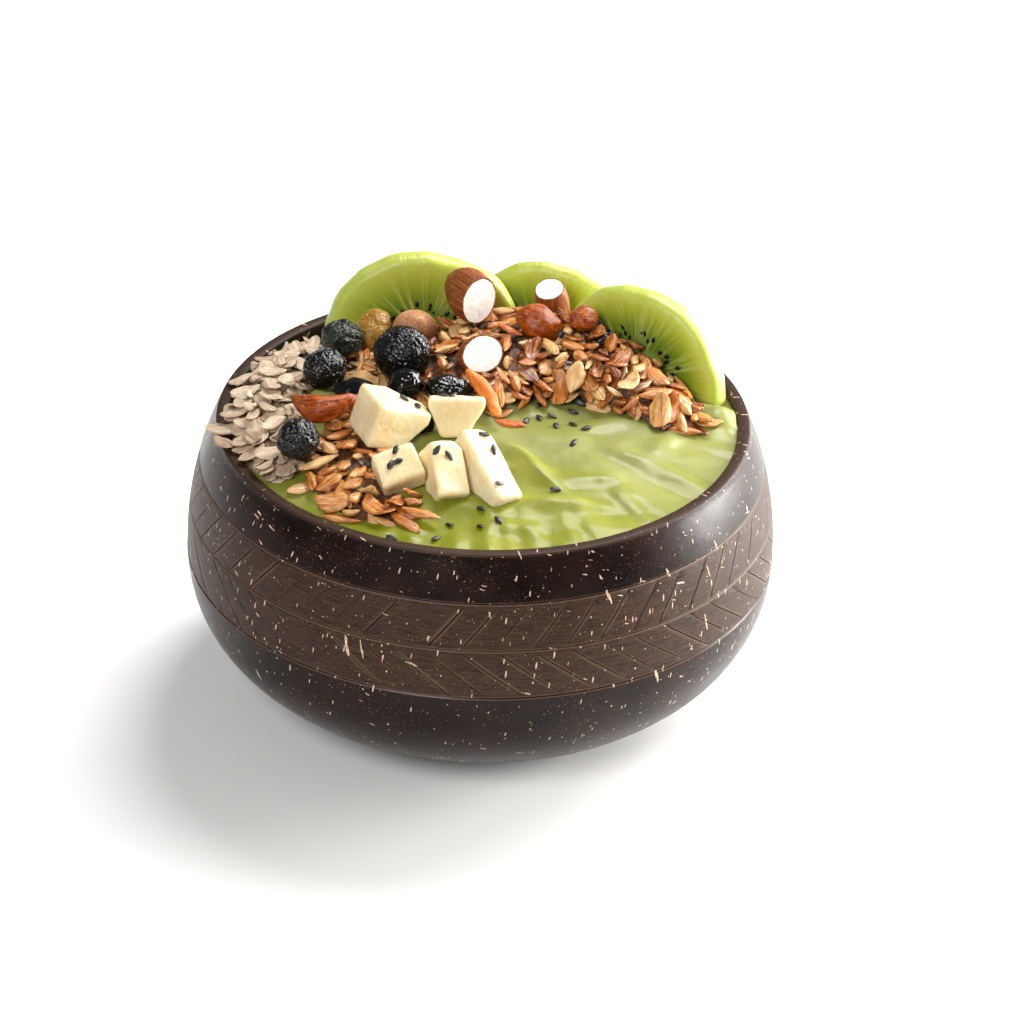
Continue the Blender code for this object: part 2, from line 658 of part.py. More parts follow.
def build_toppings(collection, materials):
    toppings = [build_kiwi_slice(row, collection, materials) for row in KIWI_SLICES]
    toppings += [build_pebble(row, collection, materials) for row in PEBBLES]
    toppings += [build_cut_almond(row, collection, materials) for row in CUT_ALMONDS]
    chunks = [build_chunk(row, collection, materials) for row in CHUNKS]
    return toppings, chunks


def build_heaps(collection, materials, cutters, blockers):
    """The heaps' cores, each cut clear of everything that it meets."""
    heaps = []
    blocked = list(blockers)
    for row in HEAPS:
        heap = build_heap(row[0], row[1], materials[row[2]], collection)
        mound = world_copy(heap, NEIGHBOUR_GAP, cutters)
        subtract(heap, blocked)
        blocked.append(mound)
        heaps.append(heap)
    return heaps


def cover_heaps(heaps, others):
    """Fuse the flakes onto each heap, clear of the other nodes."""
    for heap, (name, spine, _, half_sizes, count, seed) in zip(heaps, HEAPS):
        neighbours = others + [other for other in heaps if other is not heap]
        obstacles = [tree_of(other) for other in neighbours]
        flakes = make_collection("flakes")
        scatter_flakes(heap, spine, count, half_sizes, seed, obstacles, flakes)
        if name == "oats":
            place_rim_flakes(heap, obstacles, flakes)
        fuse(heap, flakes)


def main():
    clear_scene()
    parts = make_collection("smoothie_bowl")
    cutters = make_collection("cutters")
    materials = make_materials()
    bowl = build_bowl(parts, materials)
    smoothie = build_smoothie(parts, materials)
    toppings, chunks = build_toppings(parts, materials)
    grown = [world_copy(topping, NEIGHBOUR_GAP, cutters) for topping in toppings + chunks]
    shells = [world_copy(shell, NEIGHBOUR_GAP, cutters) for shell in (smoothie, bowl)]
    heaps = build_heaps(parts, materials, cutters, shells + grown)
    cover_heaps(heaps, [bowl, smoothie] + toppings + chunks)
    subtract(smoothie, grown)
    loose = [bowl] + toppings + chunks + heaps
    seed_smoothie(smoothie, [tree_of(other) for other in loose])
    for chunk, row in zip(chunks, CHUNKS):
        neighbours = [other for other in loose + [smoothie] if other is not chunk]
        seed_chunk(chunk, row, [tree_of(other) for other in neighbours])
    for cutter in list(cutters.objects):
        bpy.data.objects.remove(cutter)
    bpy.data.collections.remove(cutters)


main()
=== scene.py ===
"""Smoothie bowl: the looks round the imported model.

The carved coconut shell, the smoothie and every topping are modelled here at true size. They take
the place of the plain solids in the same frame: metres, +Z up, the origin at the centre of the foot,
and -Y the side with the open smoothie. Sizes are written in millimetres and turned to metres by MM.
"""

import math
import random

import bmesh
import bpy
from mathutils import Euler, Matrix, Vector, noise
from mathutils.bvhtree import BVHTree


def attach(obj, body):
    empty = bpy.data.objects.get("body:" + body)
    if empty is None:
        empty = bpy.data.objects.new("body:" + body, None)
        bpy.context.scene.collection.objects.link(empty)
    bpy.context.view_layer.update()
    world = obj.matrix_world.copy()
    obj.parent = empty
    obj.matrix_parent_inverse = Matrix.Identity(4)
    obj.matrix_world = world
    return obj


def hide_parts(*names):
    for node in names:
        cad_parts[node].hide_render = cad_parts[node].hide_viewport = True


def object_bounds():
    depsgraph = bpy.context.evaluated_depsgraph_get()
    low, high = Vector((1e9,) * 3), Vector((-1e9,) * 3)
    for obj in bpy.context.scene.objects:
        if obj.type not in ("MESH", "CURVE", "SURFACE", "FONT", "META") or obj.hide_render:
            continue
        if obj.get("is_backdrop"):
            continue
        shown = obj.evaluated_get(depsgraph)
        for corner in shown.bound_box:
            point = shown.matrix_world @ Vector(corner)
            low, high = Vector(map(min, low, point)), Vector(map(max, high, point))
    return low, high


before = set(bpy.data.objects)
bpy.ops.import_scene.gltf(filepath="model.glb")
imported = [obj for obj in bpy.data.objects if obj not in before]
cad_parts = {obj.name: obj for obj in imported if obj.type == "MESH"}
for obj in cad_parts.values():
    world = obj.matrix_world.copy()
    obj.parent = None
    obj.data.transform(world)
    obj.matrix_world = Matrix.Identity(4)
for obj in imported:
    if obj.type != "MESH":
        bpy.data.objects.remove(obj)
CAD_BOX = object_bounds()

MM = 0.001
FINE = 1e-6

# Coconut shell, as in the solid.
BOWL_HEIGHT = 71.0
WIDEST_Z = 39.0
LOWER_POWER = 2.3
OUTER_WALL = (70.0, 72.0, 42.1)
INNER_WALL = (65.8, 76.0, 32.0)
FLOOR_Z = WIDEST_Z - INNER_WALL[2]
RIM_ROUND = 0.6

# Rows of the bowl's profile: counts between the rim, the rings and the foot, heights of the lowest
# rows, and rises above the floor inside.
WALL_ROWS = (8, 10, 11, 16)
FOOT_ROWS = [2.4, 1.4, 0.6, 0.15, 0.0]
INNER_RISES = (0.3, 1.5, 4.0, 8.0, 13.0, 20.0, 29.0, 38.0, 47.0, 53.0)
INNER_TOP = 64.0
FOOT_INSET = 0.6

# Carved band: ring lines, and slanting grooves between them.
RINGS = (60.4, 49.4, 37.3)
RING_HALF = 0.35
RING_SHOULDER = 0.9
RING_DEPTH = 0.30
BAND_RECESS = 0.12
GROOVES = 54
GROOVE_COLUMNS = 8
GROOVE_HALF = 0.26
GROOVE_DEPTH = 0.34
GROOVE_SLANTS = (7.5, 13.0)
GROOVE_ENDS = 0.05
GROOVE_JITTER = 0.7
GROOVE_STRENGTHS = (0.25, 1.15)
CARVE_SEED = 11

# Smoothie surface, as in the solid, with finer folds.
FILL_EDGE_Z = 69.6
FILL_RADIUS = 59.6
DOME_RISE = 5.0
FOLD_DEPTH = 0.7
FOLD_LENGTH = 15.0
FOLD_STRETCH = 1.6
BACK_DIP = 6.0
BACK_DIP_ANGLE = 140.0
BACK_DIP_SPREAD = 26.0
WALL_SMEAR = (56.0, 3.0)
WALL_SMEAR_REACH = 5.0
WALL_SMEAR_RISE = 3.2
SMOOTHIE_RINGS = 110
SMOOTHIE_TURNS = 340
FILL_GAP = 0.12
FILL_SIDE = (62.0, 12.0, 9)
FILL_FOOT_Z = 8.4
EDGE_CALM = 0.6

# Forms that roll over the smoothie: height, length and width in millimetres, layer of the noise.
WARP = (5, 16, 16, 3.0)
CREST = (0.50, 30, 15, 7.0)
CREST_SHARPNESS = 5.0
CREST_TURN = (0.94, 0.34)
BROAD = (0.8, 17, 9.0, 2.0)
LUMPS = (0.30, 7.5, 4.5, 1.0)
RIPPLES = (0.07, 2.4, 2.0, 5.0)

# Bulges along the smoothie's edge: height, how many round it, layer of the noise.
BULGES = (1.6, 15, 4.0)

# Lumps of the smoothie: x, y, half length, half width, turn in degrees, height.
SMOOTHIE_LUMPS = (
    (9.5, -24.0, 6.0, 2.2, -52, 2.2), (12.5, -30.0, 5.0, 2.0, -40, 1.3),
    (19.0, -41.0, 10.0, 2.4, 4, 1.3), (34.0, -20.0, 9.0, 3.0, -30, 1.1),
    (27.0, -30.0, 8.0, 2.6, 12, 0.9), (43.0, -12.0, 7.0, 3.0, 60, 1.2),
    (8.0, -51.0, 7.0, 2.4, 10, 0.9), (49.0, 2.0, 6.0, 3.2, 80, 1.4),
    (30.0, -6.0, 9.0, 3.0, 24, 0.9),
)

# Kiwi slices: name, centre, half width, half height, thickness, yaw, lean and roll in degrees, and
# the seed ring's share of the half width.
KIWI_SLICES = (
    ("kiwi_slice_left", (-15.2, 41.6, 70.4), 24.2, 21.6, 6.0, 5.0, 1.0, -8.0, 0.38),
    ("kiwi_slice_middle", (14.8, 48.6, 64.6), 21.4, 21.4, 5.0, -12.0, 6.5, 0.0, 0.40),
    ("kiwi_slice_right", (37.5, 23.1, 71.4), 22.5, 22.0, 6.2, -32.4, 2.5, 10.0, 0.52),
)
KIWI_TURNS = 120
KIWI_RINGS = 22
KIWI_EDGE = 2.2
KIWI_LOBES = ((3, 0.006, 0.6), (5, 0.010, 2.1), (7, 0.006, 0.3))
PEEL_STROKES = 17
PEEL_REACH = 0.989
PEEL_START = 0.90
PEEL_WIDTH = 0.09
CORE_DIP = 0.25
CORE_RADIUS = 0.2
KIWI_SEEDS = 46
KIWI_SEED_RING = 0.40
KIWI_SEED_SIZE = (1.0, 0.55, 0.42)
KIWI_SEED_DRIFT = (-0.07, 0.08)
KIWI_SEED_SUNK = 0.35

# Rounded toppings: name, finish, half sizes, centre, rotation in degrees, wrinkle, bend.
PEBBLES = (
    ("berry_back_left", "berry", (5.1, 4.8, 4.6), (-34.2, 18.2, 81.0), (0, 10, 30), 0.09, 0.0),
    ("berry_left", "berry", (5.5, 5.2, 5.1), (-37.6, 3.2, 81.0), (20, 0, 70), 0.10, 0.0),
    ("berry_flat", "berry", (6.8, 4.0, 3.2), (-28.4, -4.2, 78.8), (0, 4, -14), 0.12, 0.0),
    ("berry_big", "berry", (6.9, 6.6, 6.4), (-19.6, 9.6, 82.4), (10, 0, 0), 0.08, 0.0),
    ("berry_middle", "berry", (4.2, 3.8, 3.7), (-18.2, -2.4, 80.8), (0, 20, 40), 0.12, 0.0),
    ("berry_right", "berry", (5.4, 3.8, 3.1), (-8.4, -2.8, 80.0), (0, 6, 4), 0.11, 0.0),
    ("berry_front", "berry", (5.0, 5.0, 4.7), (-42.4, -26.0, 78.4), (30, 0, 0), 0.11, 0.0),
    ("berry_low", "berry", (3.0, 2.9, 2.9), (-14.3, -12.2, 75.6), (0, 0, 50), 0.10, 0.0),
    ("cashew", "cashew", (8.0, 3.3, 3.1), (-37.4, -11.6, 79.6), (0, 8, 172), 0.03, 0.9),
    ("nut_whole", "almond", (5.7, 4.3, 4.0), (12.6, 22.3, 84.5), (0, 24, -12), 0.05, 0.0),
    ("nut_small", "almond", (3.7, 3.1, 2.9), (23.2, 20.6, 87.2), (0, 10, 20), 0.05, 0.0),
    ("dried_fruit", "dried_fruit", (6.0, 4.0, 3.4), (-27.0, 26.6, 79.4), (0, -20, 70), 0.10, 0.0),
    ("fruit_sliver", "sliver", (7.6, 1.9, 1.6), (0.1, -4.6, 80.4), (0, 21, -57), 0.03, 0.12),
)
WRINKLE_SCALE = 0.55
BEND_MIDDLE = 0.35
BEND_DEPTH = 0.7

# Creases of a berry's skin: depth, size, width as a share of the noise, and shift of the noise.
BERRY_CREASES = ((0.40, 3.6, 0.20, (0, 0, 0)), (0.24, 1.5, 0.3, (9, 4, 2)),
                 (0.12, 0.8, 0.3, (1, 7, 5)))

# Almonds, cut across: name, half sizes, centre of the cut, direction that the cut faces,
# spin of the nut about that direction in degrees, and how far along the nut the cut lies.
CUT_ALMONDS = (
    ("almond_half_upright", (10.5, 6.4, 5.0), (-1.8, 25.0, 88.6), (0.50, -0.83, 0.05), 80, 0.35),
    ("almond_half_front", (9.0, 5.4, 4.6), (-0.6, 6.8, 84.2), (0.30, -0.80, 0.52), 15, 0.25),
    ("almond_half_back", (10.0, 4.0, 3.7), (15.0, 37.0, 86.0), (-0.22, -0.34, 0.92), 20, 0.40),
    ("almond_left", (10.0, 5.4, 4.4), (-17.6, 31.0, 76.0), (-0.1, 0.75, -0.65), 10, 0.55),
)
ALMOND_TAPER = 0.30
CUT_RINGS = (0.93, 0.86, 0.8, 0.72, 0.6)
CUT_ROUGHNESS = (1.3, 0.12)

# Soft fruit chunks: name, size, centre, rotation in degrees, the knife's cuts, and the black sesame
# on the top face as fractions of its half width and half depth. A cut is the direction that it
# faces and how far it lies from the centre.
CHUNKS = (
    ("fruit_chunk_big", (13.4, 12.5, 10.5), (-21.8, -15.5, 78.7), (0, 20, 24),
     (((0.7, 0.7, 0.15), 5.0), ((0.85, 0.0, -0.5), 4.4)), ((0.25, 0.0), (0.62, -0.45))),
    ("fruit_chunk_back", (13.0, 5.5, 9.0), (-6.2, -14.0, 79.0), (-20, 0, 2),
     (((-0.9, 0.0, -0.4), 5.0), ((0.85, 0.0, -0.5), 4.2)), ((-0.50, 0.0), (-0.15, 0.0))),
    ("fruit_chunk_front", (10.0, 8.8, 6.0), (-19.1, -35.6, 76.8), (28, -14, 18),
     (), ((-0.35, 0.0), (0.0, 0.05), (0.15, 0.75))),
    ("fruit_chunk_middle", (7.6, 13.6, 7.5), (-8.5, -35.6, 76.0), (38, 8, 22),
     (((0.8, 0.6, 0.0), 5.8),), ((0.0, 0.40), (-0.70, 0.62))),
    ("fruit_chunk_long", (7.5, 20.5, 9.0), (0.7, -33.6, 74.9), (24, 12, 34),
     (((0.6, 0.8, 0.3), 9.8),), ((0.35, 0.75), (0.40, 0.30), (-0.55, -0.65))),
)
CHUNK_GRAIN = 0.38
CHUNK_SOFTENING = 7

# Heaps lie along a spine of rows: x, y, half width, height above the smoothie.
GRANOLA_BACK = ((-38.0, 12.0, 13.0, 6.5), (-18.0, 17.0, 20.0, 8.5), (-1.0, 17.0, 22.0, 9.0),
                (13.0, 24.0, 19.0, 10.5), (30.0, 14.0, 19.0, 12.5), (50.0, -5.0, 13.0, 6.0))
GRANOLA_FRONT = ((-26.0, -8.0, 9.0, 5.0), (-31.0, -21.0, 9.0, 4.0), (-28.0, -38.0, 10.0, 4.0),
                 (-15.0, -48.0, 8.5, 3.0))
OATS = ((-41.0, 34.0, 7.0, 12.0), (-48.0, 18.0, 9.0, 9.0), (-51.0, -2.0, 9.0, 7.5),
        (-48.0, -22.0, 8.0, 5.5), (-46.0, -32.0, 6.0, 4.0))
HEAP_ROOT = 5.0
HEAP_GAP = 0.3
CORE_LOWER = 2.6
CORE_NARROWER = 0.86
SPINE_STEP = 0.02
SPREAD_ALONG = 0.7549
SPREAD_ACROSS = 0.5698
SPREAD_REACH = 0.97
GRAIN_ROWS = 8
GRAIN_TURNS = 9
GRAIN_SCALES = (0.80, 1.25)
RISE_STEP = 0.35
HEAP_TRIES = 9
LOOSE_TRIES = 14

# Heaps of granola: spine, how many flakes are tried below and on top, and the darkest tone. Flakes
# tilt by up to so many degrees, and by less when there is no room.
GRANOLA_HEAPS = ((GRANOLA_BACK, 900, 1300, 0.0), (GRANOLA_FRONT, 150, 110, 0.4))
UNDER_TILT = 22
GRANOLA_TILT = 40
TILT_EASES = (1.0, 0.5, 0.2)
OAT_TILT = 42
OAT_COUNTS = (420, 620)

# Half sizes of grains: short ones for the back heap, rolled oats, and long ones for both heaps of
# granola.
SHORT_GRAINS = ((3.7, 1.8, 0.9), (3.1, 1.4, 0.8), (2.7, 1.1, 0.8), (3.4, 1.3, 0.8), (2.3, 1.3, 0.9),
                (2.9, 1.7, 0.7), (3.9, 1.5, 0.8), (2.5, 0.9, 0.7))
OAT_SIZES = ((3.6, 2.4, 0.5), (3.0, 2.2, 0.5), (4.0, 2.5, 0.45), (2.4, 1.8, 0.5), (3.3, 1.7, 0.5),
             (2.0, 1.3, 0.5), (3.7, 2.1, 0.45))
LONG_GRAINS = ((4.4, 1.9, 0.9), (4.0, 1.6, 0.9), (4.6, 1.5, 0.8), (3.4, 1.9, 0.8))

# Half sizes of seeds and crumbs.
CRUMB = (1.9, 1.2, 0.8)
HEAP_SESAME = (1.6, 0.88, 0.45)
LOOSE_SESAME = (1.5, 0.78, 0.38)

# Black sesame that lies on the open smoothie: x and y.
SESAME_SPOTS = ((0, -45), (0, -51), (4, -49), (-7, -50), (-10, -55), (-20, -55), (13, 0), (13, -5),
                (16, -4), (10, -7), (17, -9), (21, -8), (24, -10), (21, -17), (17, -36), (21, -1))

# Single grains round the granola: kind, x, y, size, turn in degrees, tone.
LOOSE_GRAINS = (
    ("grain", -41.5, -36.0, 1.0, 28, 0.95), ("grain", -31.5, -47.5, 1.05, -14, 0.62),
    ("grain", -32.5, -43.0, 0.9, -8, 0.70), ("grain", -17.5, -46.0, 1.35, -32, 0.40),
    ("grain", -13.5, -48.5, 1.1, -26, 0.55), ("orange", 8.5, 3.5, 1.05, 40, 0.20),
    ("flake", 3.6, -4.5, 0.8, 10, 0.80), ("orange", 6.4, -8.5, 0.85, -14, 0.12),
    ("grain", 53.0, -2.0, 1.0, 8, 0.75), ("grain", 47.0, -7.0, 1.05, -10, 0.45),
)

# Oats that lie over the rim, in the same way, and how far above it they start.
RIM_OATS = (("oat", -60.6, -10.5, 1.1, 12, 0.30), ("oat", -59.5, -1.0, 1.05, 70, 0.55),
            ("oat", -59.8, -17.5, 0.9, -40, 0.05))
RIM_CLEARANCE = 0.9

# Pale flecks of the shell: sizes, turn in degrees, width, share of the cells that have one, warp.
FLECKS = (((0.95, 4.8, 1.0), 7.0, 0.16, 0.36, 0.25), ((5.5, 1.4, 1.0), 24.0, 0.14, 0.22, 0.9),
          ((1.9, 14.0, 1.0), -14.0, 0.15, 0.24, 0.5), ((1.4, 1.7, 1.0), 0.0, 0.13, 0.22, 0.2),
          ((0.7, 0.9, 1.0), 15.0, 0.13, 0.16, 0.2))

# Skins of berries: name, colours of the skin and the dust, roughness, depth of the wrinkles.
BERRY_FINISHES = {
    "berry": ("dark_berry", (0.0016, 0.0015, 0.0016), (0.005, 0.0046, 0.0046), 0.13, 0.40),
    "smooth_berry": ("smooth_berry", (0.0016, 0.0014, 0.0015), (0.004, 0.0037, 0.004), 0.10, 0.15),
    "hazy_berry": ("hazy_berry", (0.008, 0.012, 0.007), (0.030, 0.040, 0.024), 0.34, 0.5),
    "dried_fruit": ("golden_fruit", (0.26, 0.12, 0.014), (0.55, 0.34, 0.08), 0.28, 0.4),
}

# Skins of nuts: name, dark, middle and light colour, roughness.
NUT_FINISHES = {
    "almond": ("almond_skin", (0.085, 0.015, 0.003), (0.22, 0.052, 0.008), (0.42, 0.15, 0.040)),
    "pale_almond": ("pale_almond_skin", (0.38, 0.13, 0.055), (0.58, 0.27, 0.13), (0.72, 0.42, 0.24)),
    "cashew": ("glazed_nut", (0.11, 0.012, 0.001), (0.29, 0.046, 0.002), (0.60, 0.17, 0.018), 0.26),
    "sliver": ("orange_sliver", (0.50, 0.10, 0.010), (0.70, 0.19, 0.025), (0.80, 0.36, 0.09), 0.38),
}

# Flakes: name, shades by tone, colours of the dust and the shade, roughness, sizes of the streaks.
FLAKE_FINISHES = {
    "granola": ("toasted_grain", ((0.11, 0.020, 0.003), (0.32, 0.068, 0.006), (0.48, 0.135, 0.015),
                                  (0.60, 0.25, 0.055), (0.76, 0.52, 0.24)),
                (0.90, 0.58, 0.27), (0.36, 0.20, 0.09), 0.26, (5.5, 0.75, 0.75)),
    "orange_seed": ("orange_seed", ((0.55, 0.09, 0.008), (0.66, 0.16, 0.018)),
                    (0.85, 0.36, 0.09), (0.6, 0.35, 0.2), 0.30, (5.5, 0.75, 0.75)),
    "oats": ("rolled_oat", ((0.36, 0.23, 0.15), (0.52, 0.37, 0.25), (0.60, 0.46, 0.31),
                            (0.70, 0.56, 0.40)),
             (0.82, 0.71, 0.54), (0.50, 0.36, 0.32), 0.6, (4.5, 0.8, 0.8)),
}

# Seeds and crumbs: name, dark and light colour, roughness.
SPECK_FINISHES = {
    # Painted shade: the granola core is coloured dark, partly as crumbs and partly as painted shade in
    # the gaps between the flakes.
    "granola_core": ("granola_crumb_and_painted_shade", (0.040, 0.012, 0.003), (0.26, 0.090, 0.020), 0.6),
    "oat_core": ("oat_crumb", (0.20, 0.13, 0.09), (0.52, 0.38, 0.26), 0.8),
    "sesame": ("black_sesame", (0.008, 0.007, 0.006), (0.065, 0.058, 0.050), 0.34),
    "kiwi_seed": ("kiwi_seed", (0.006, 0.005, 0.005), (0.025, 0.020, 0.018), 0.25),
}

# The camera is in front and looks down by 31 degrees. Places are in metres, the roll in degrees, the
# lens and the sensor in millimetres.
CAMERA_PLACE = (0.0, -0.9572, 0.6133)
CAMERA_TARGET = (0.0074, 0.0, 0.04525)
CAMERA_ROLL = 1.8
CAMERA_LENS = 164.1
CAMERA_SENSOR = 36.0

# Studio lamps: name, place and size in metres, watts, colour.
LAMPS = (
    ("window", (0.70, 0.55, 0.50), 0.6, 14.0, (1.0, 0.985, 0.96)),
    ("overhead", (0.25, 0.55, 1.05), 0.5, 11.5, (1.0, 1.0, 1.0)),
    ("side_card", (0.98, 0.24, 0.12), 0.55, 32.0, (1.0, 0.98, 0.96)),
    ("front_fill", (-0.45, -1.05, 0.95), 0.6, 14.0, (1.0, 0.99, 0.97)),
)
LAMP_TARGET = (0, 0, 0.05)
SKY_COLOUR = (1.0, 0.99, 0.97, 1.0)
SKY_STRENGTH = 0.20


# ---- Materials ----


class Finish:
    """A material, with short calls for the nodes of its pattern. Sizes are in millimetres."""

    def __init__(self, name, roughness, **sockets):
        self.material = bpy.data.materials.new(name)
        self.material.use_nodes = True
        self.tree = self.material.node_tree
        self.shader = self.tree.nodes["Principled BSDF"]
        self.shader.inputs["Roughness"].default_value = roughness
        for socket, value in sockets.items():
            title = socket.replace("_", " ").title().replace("Ior", "IOR")
            self.shader.inputs[title].default_value = value

    def feed(self, socket, source):
        if isinstance(source, bpy.types.NodeSocket):
            self.tree.links.new(source, socket)
        else:
            socket.default_value = source

    def node(self, kind, inputs=(), **settings):
        node = self.tree.nodes.new("ShaderNode" + kind)
        for key, value in settings.items():
            setattr(node, key, value)
        for socket, source in dict(inputs).items():
            self.feed(node.inputs[socket], source)
        return node

    def place(self):
        return self.node("TexCoord").outputs["Object"]

    def attribute(self, name, output="Fac"):
        return self.node("Attribute", attribute_name=name).outputs[output]

    def parts(self, vector):
        return self.node("SeparateXYZ", {"Vector": vector}).outputs

    def vector(self, x, y, z=0.0):
        return self.node("CombineXYZ", {"X": x, "Y": y, "Z": z}).outputs[0]

    def math(self, operation, *values):
        return self.node("Math", enumerate(values), operation=operation).outputs[0]

    def length(self, vector):
        return self.node("VectorMath", {0: vector}, operation="LENGTH").outputs["Value"]

    def stretch(self, vector, sizes, turn=(0, 0, 0)):
        """Divide a vector by sizes in millimetres, after a turn in degrees."""
        scale = [1 / (size * MM) for size in sizes]
        turned = self.node("Mapping", {"Vector": vector, "Rotation": [math.radians(a) for a in turn]})
        inputs = {"Vector": turned.outputs[0], "Scale": scale}
        return self.node("Mapping", inputs).outputs[0]

    def noise(self, vector, sizes=None, detail=3.0, rough=0.55, warp=0.0, turn=(0, 0, 0)):
        """Clouds of about these sizes in millimetres, or of the vector's own scale."""
        if sizes:
            vector = self.stretch(vector, sizes, turn)
        inputs = {"Vector": vector, "Scale": 1.0, "Detail": detail, "Roughness": rough,
                  "Distortion": warp}
        return self.node("TexNoise", inputs).outputs["Fac"]

    def cells(self, vector):
        """Cell pattern: distance from a cell's middle, and one random value for the cell."""
        node = self.node("TexVoronoi", {"Vector": vector, "Scale": 1.0})
        return node.outputs["Distance"], self.parts(node.outputs["Color"])[0]

    def ramp(self, value, *stops):
        """Smooth steps from value to colour or shade. A stop is (place, shade or colour)."""
        node = self.node("ValToRGB", {"Fac": value})
        elements = node.color_ramp.elements
        while len(elements) < len(stops):
            elements.new(1.0)
        for element, (at, colour) in zip(elements, stops):
            shade = colour if isinstance(colour, tuple) else (colour,) * 3
            element.position = at
            element.color = (*shade, 1.0)
        return node.outputs[0]

    def mix(self, share, first, second, mode="MIX"):
        node = self.node("Mix", data_type="RGBA", blend_type=mode)
        for socket, source in ((0, share), (6, first), (7, second)):
            if isinstance(source, tuple):
                source = (*source, 1.0)
            self.feed(node.inputs[socket], source)
        return node.outputs[2]

    def fade(self, value, start, end, first, second, most=1.0):
        """From the first colour at start to the second, at most this share of it, at end."""
        return self.mix(self.ramp(value, (start, 0.0), (end, most)), first, second)

    def relief(self, *layers):
        """Bump layers, each (height, depth in millimetres)."""
        normal = None
        for height, depth in layers:
            bump = self.node("Bump", {"Height": height, "Distance": depth * MM})
            if normal is not None:
                self.feed(bump.inputs["Normal"], normal)
            normal = bump.outputs[0]
        self.feed(self.shader.inputs["Normal"], normal)

    def colour(self, source):
        self.feed(self.shader.inputs["Base Color"], source)

    def roughness(self, source):
        self.feed(self.shader.inputs["Roughness"], source)


def shell_skin(finish):
    """Coordinates that follow the shell's wall: round it and up it, in metres."""
    x, y, z = finish.parts(finish.place())
    angle = finish.math("ARCTAN2", x, finish.math("MULTIPLY", y, -1.0))
    round_it = finish.math("MULTIPLY", angle, OUTER_WALL[0] * MM)
    flat = finish.vector(x, y)
    inwards = finish.math("SUBTRACT", finish.length(flat), OUTER_WALL[0] * MM)
    side = finish.math("SIGN", finish.math("SUBTRACT", WIDEST_Z * MM, z))
    up_it = finish.math("MULTIPLY_ADD", side, inwards, z)
    return finish.vector(round_it, up_it), z


def fibre_flecks(finish, skin, sizes, turn, width, share, warp):
    """Pale flecks: short fibres where the shell's grain is cut."""
    wobble = finish.noise(skin, (3.0, 3.0, 3.0), 2.0)
    bend = finish.math("MULTIPLY", finish.math("SUBTRACT", wobble, 0.5), warp)
    x, y, _ = finish.parts(finish.stretch(skin, sizes, (0, 0, turn)))
    spot = finish.vector(finish.math("ADD", x, bend), finish.math("ADD", y, bend))
    distance, chance = finish.cells(spot)
    chosen = finish.math("LESS_THAN", chance, share)
    reach = finish.math("MULTIPLY_ADD", chance, width / share, width * 0.35)
    return finish.math("MULTIPLY", chosen, finish.math("LESS_THAN", distance, reach))


def shell_finish():
    """Polished shell with a brushed band, carved lines, rusty patches and pale flecks."""
    finish = Finish("coconut_shell", 0.4, specular_ior_level=0.16)
    skin, z = shell_skin(finish)
    blotch = finish.noise(skin, (14.0, 18.0, 10.0), 4.0)
    streaks = finish.noise(skin, (9.0, 0.35, 1.0), 5.0, 0.65, turn=(0, 0, 5.0))
    crossed = finish.noise(skin, (4.0, 0.30, 1.0), 4.0, 0.6, turn=(0, 0, -22.0))
    scratches = finish.math("MULTIPLY_ADD", crossed, 0.4, finish.math("MULTIPLY", streaks, 0.6))
    polished = finish.fade(blotch, 0.35, 0.7, (0.0035, 0.0014, 0.0009), (0.016, 0.0062, 0.0038))
    brushed = finish.fade(scratches, 0.40, 0.62, (0.010, 0.0045, 0.0026), (0.066, 0.032, 0.018))
    low = finish.math("GREATER_THAN", z, (RINGS[2] + 0.1) * MM)
    high = finish.math("LESS_THAN", z, (RINGS[0] - 0.1) * MM)
    band = finish.math("MULTIPLY", low, high)
    wood = finish.mix(band, polished, brushed)
    for ring in RINGS:
        off = finish.math("ABSOLUTE", finish.math("SUBTRACT", z, ring * MM))
        line = finish.ramp(finish.math("DIVIDE", off, 0.8 * MM), (0.15, 0.0), (0.35, 0.8), (0.62, 0.0))
        wood = finish.mix(line, wood, (0.15, 0.090, 0.062))
    # Painted highlight: the wood beside each groove is painted lighter, as light caught by the groove's
    # edges.
    wood = finish.fade(finish.attribute("groove_edge_highlight"), 0.45, 1.0, wood, (0.13, 0.078, 0.052), 0.6)
    # Painted shade: the grooves are painted nearly black, as shade in the cuts.
    wood = finish.fade(finish.attribute("groove"), 0.1, 0.8, wood, (0.006, 0.003, 0.002), 0.9)
    rim = finish.math("GREATER_THAN", z, (BOWL_HEIGHT - 0.5) * MM)
    wood = finish.mix(rim, wood, (0.034, 0.017, 0.010))
    speckle = finish.noise(skin, (0.55, 0.8, 1.0), 3.0, 0.7)
    patch = finish.noise(skin, (16.0, 11.0, 1.0), 2.0)
    rust = finish.math("MULTIPLY", finish.ramp(speckle, (0.58, 0.0), (0.68, 1.0)),
                       finish.ramp(patch, (0.46, 0.1), (0.62, 0.9)))
    wood = finish.mix(rust, wood, (0.20, 0.085, 0.045))
    pale = 0.0
    for row in FLECKS:
        pale = finish.math("MAXIMUM", fibre_flecks(finish, skin, *row), pale)
    tint = finish.fade(speckle, 0.35, 0.6, (0.36, 0.19, 0.11), (0.74, 0.56, 0.43))
    finish.colour(finish.mix(pale, wood, tint))
    rough = finish.mix(band, finish.ramp(blotch, (0.3, 0.26), (0.8, 0.38)), (0.42, 0.42, 0.42))
    finish.roughness(finish.mix(rim, rough, (0.45, 0.45, 0.45)))
    finish.relief((finish.math("MULTIPLY", band, scratches), 0.20), (pale, 0.05), (blotch, 0.25))
    return finish.material


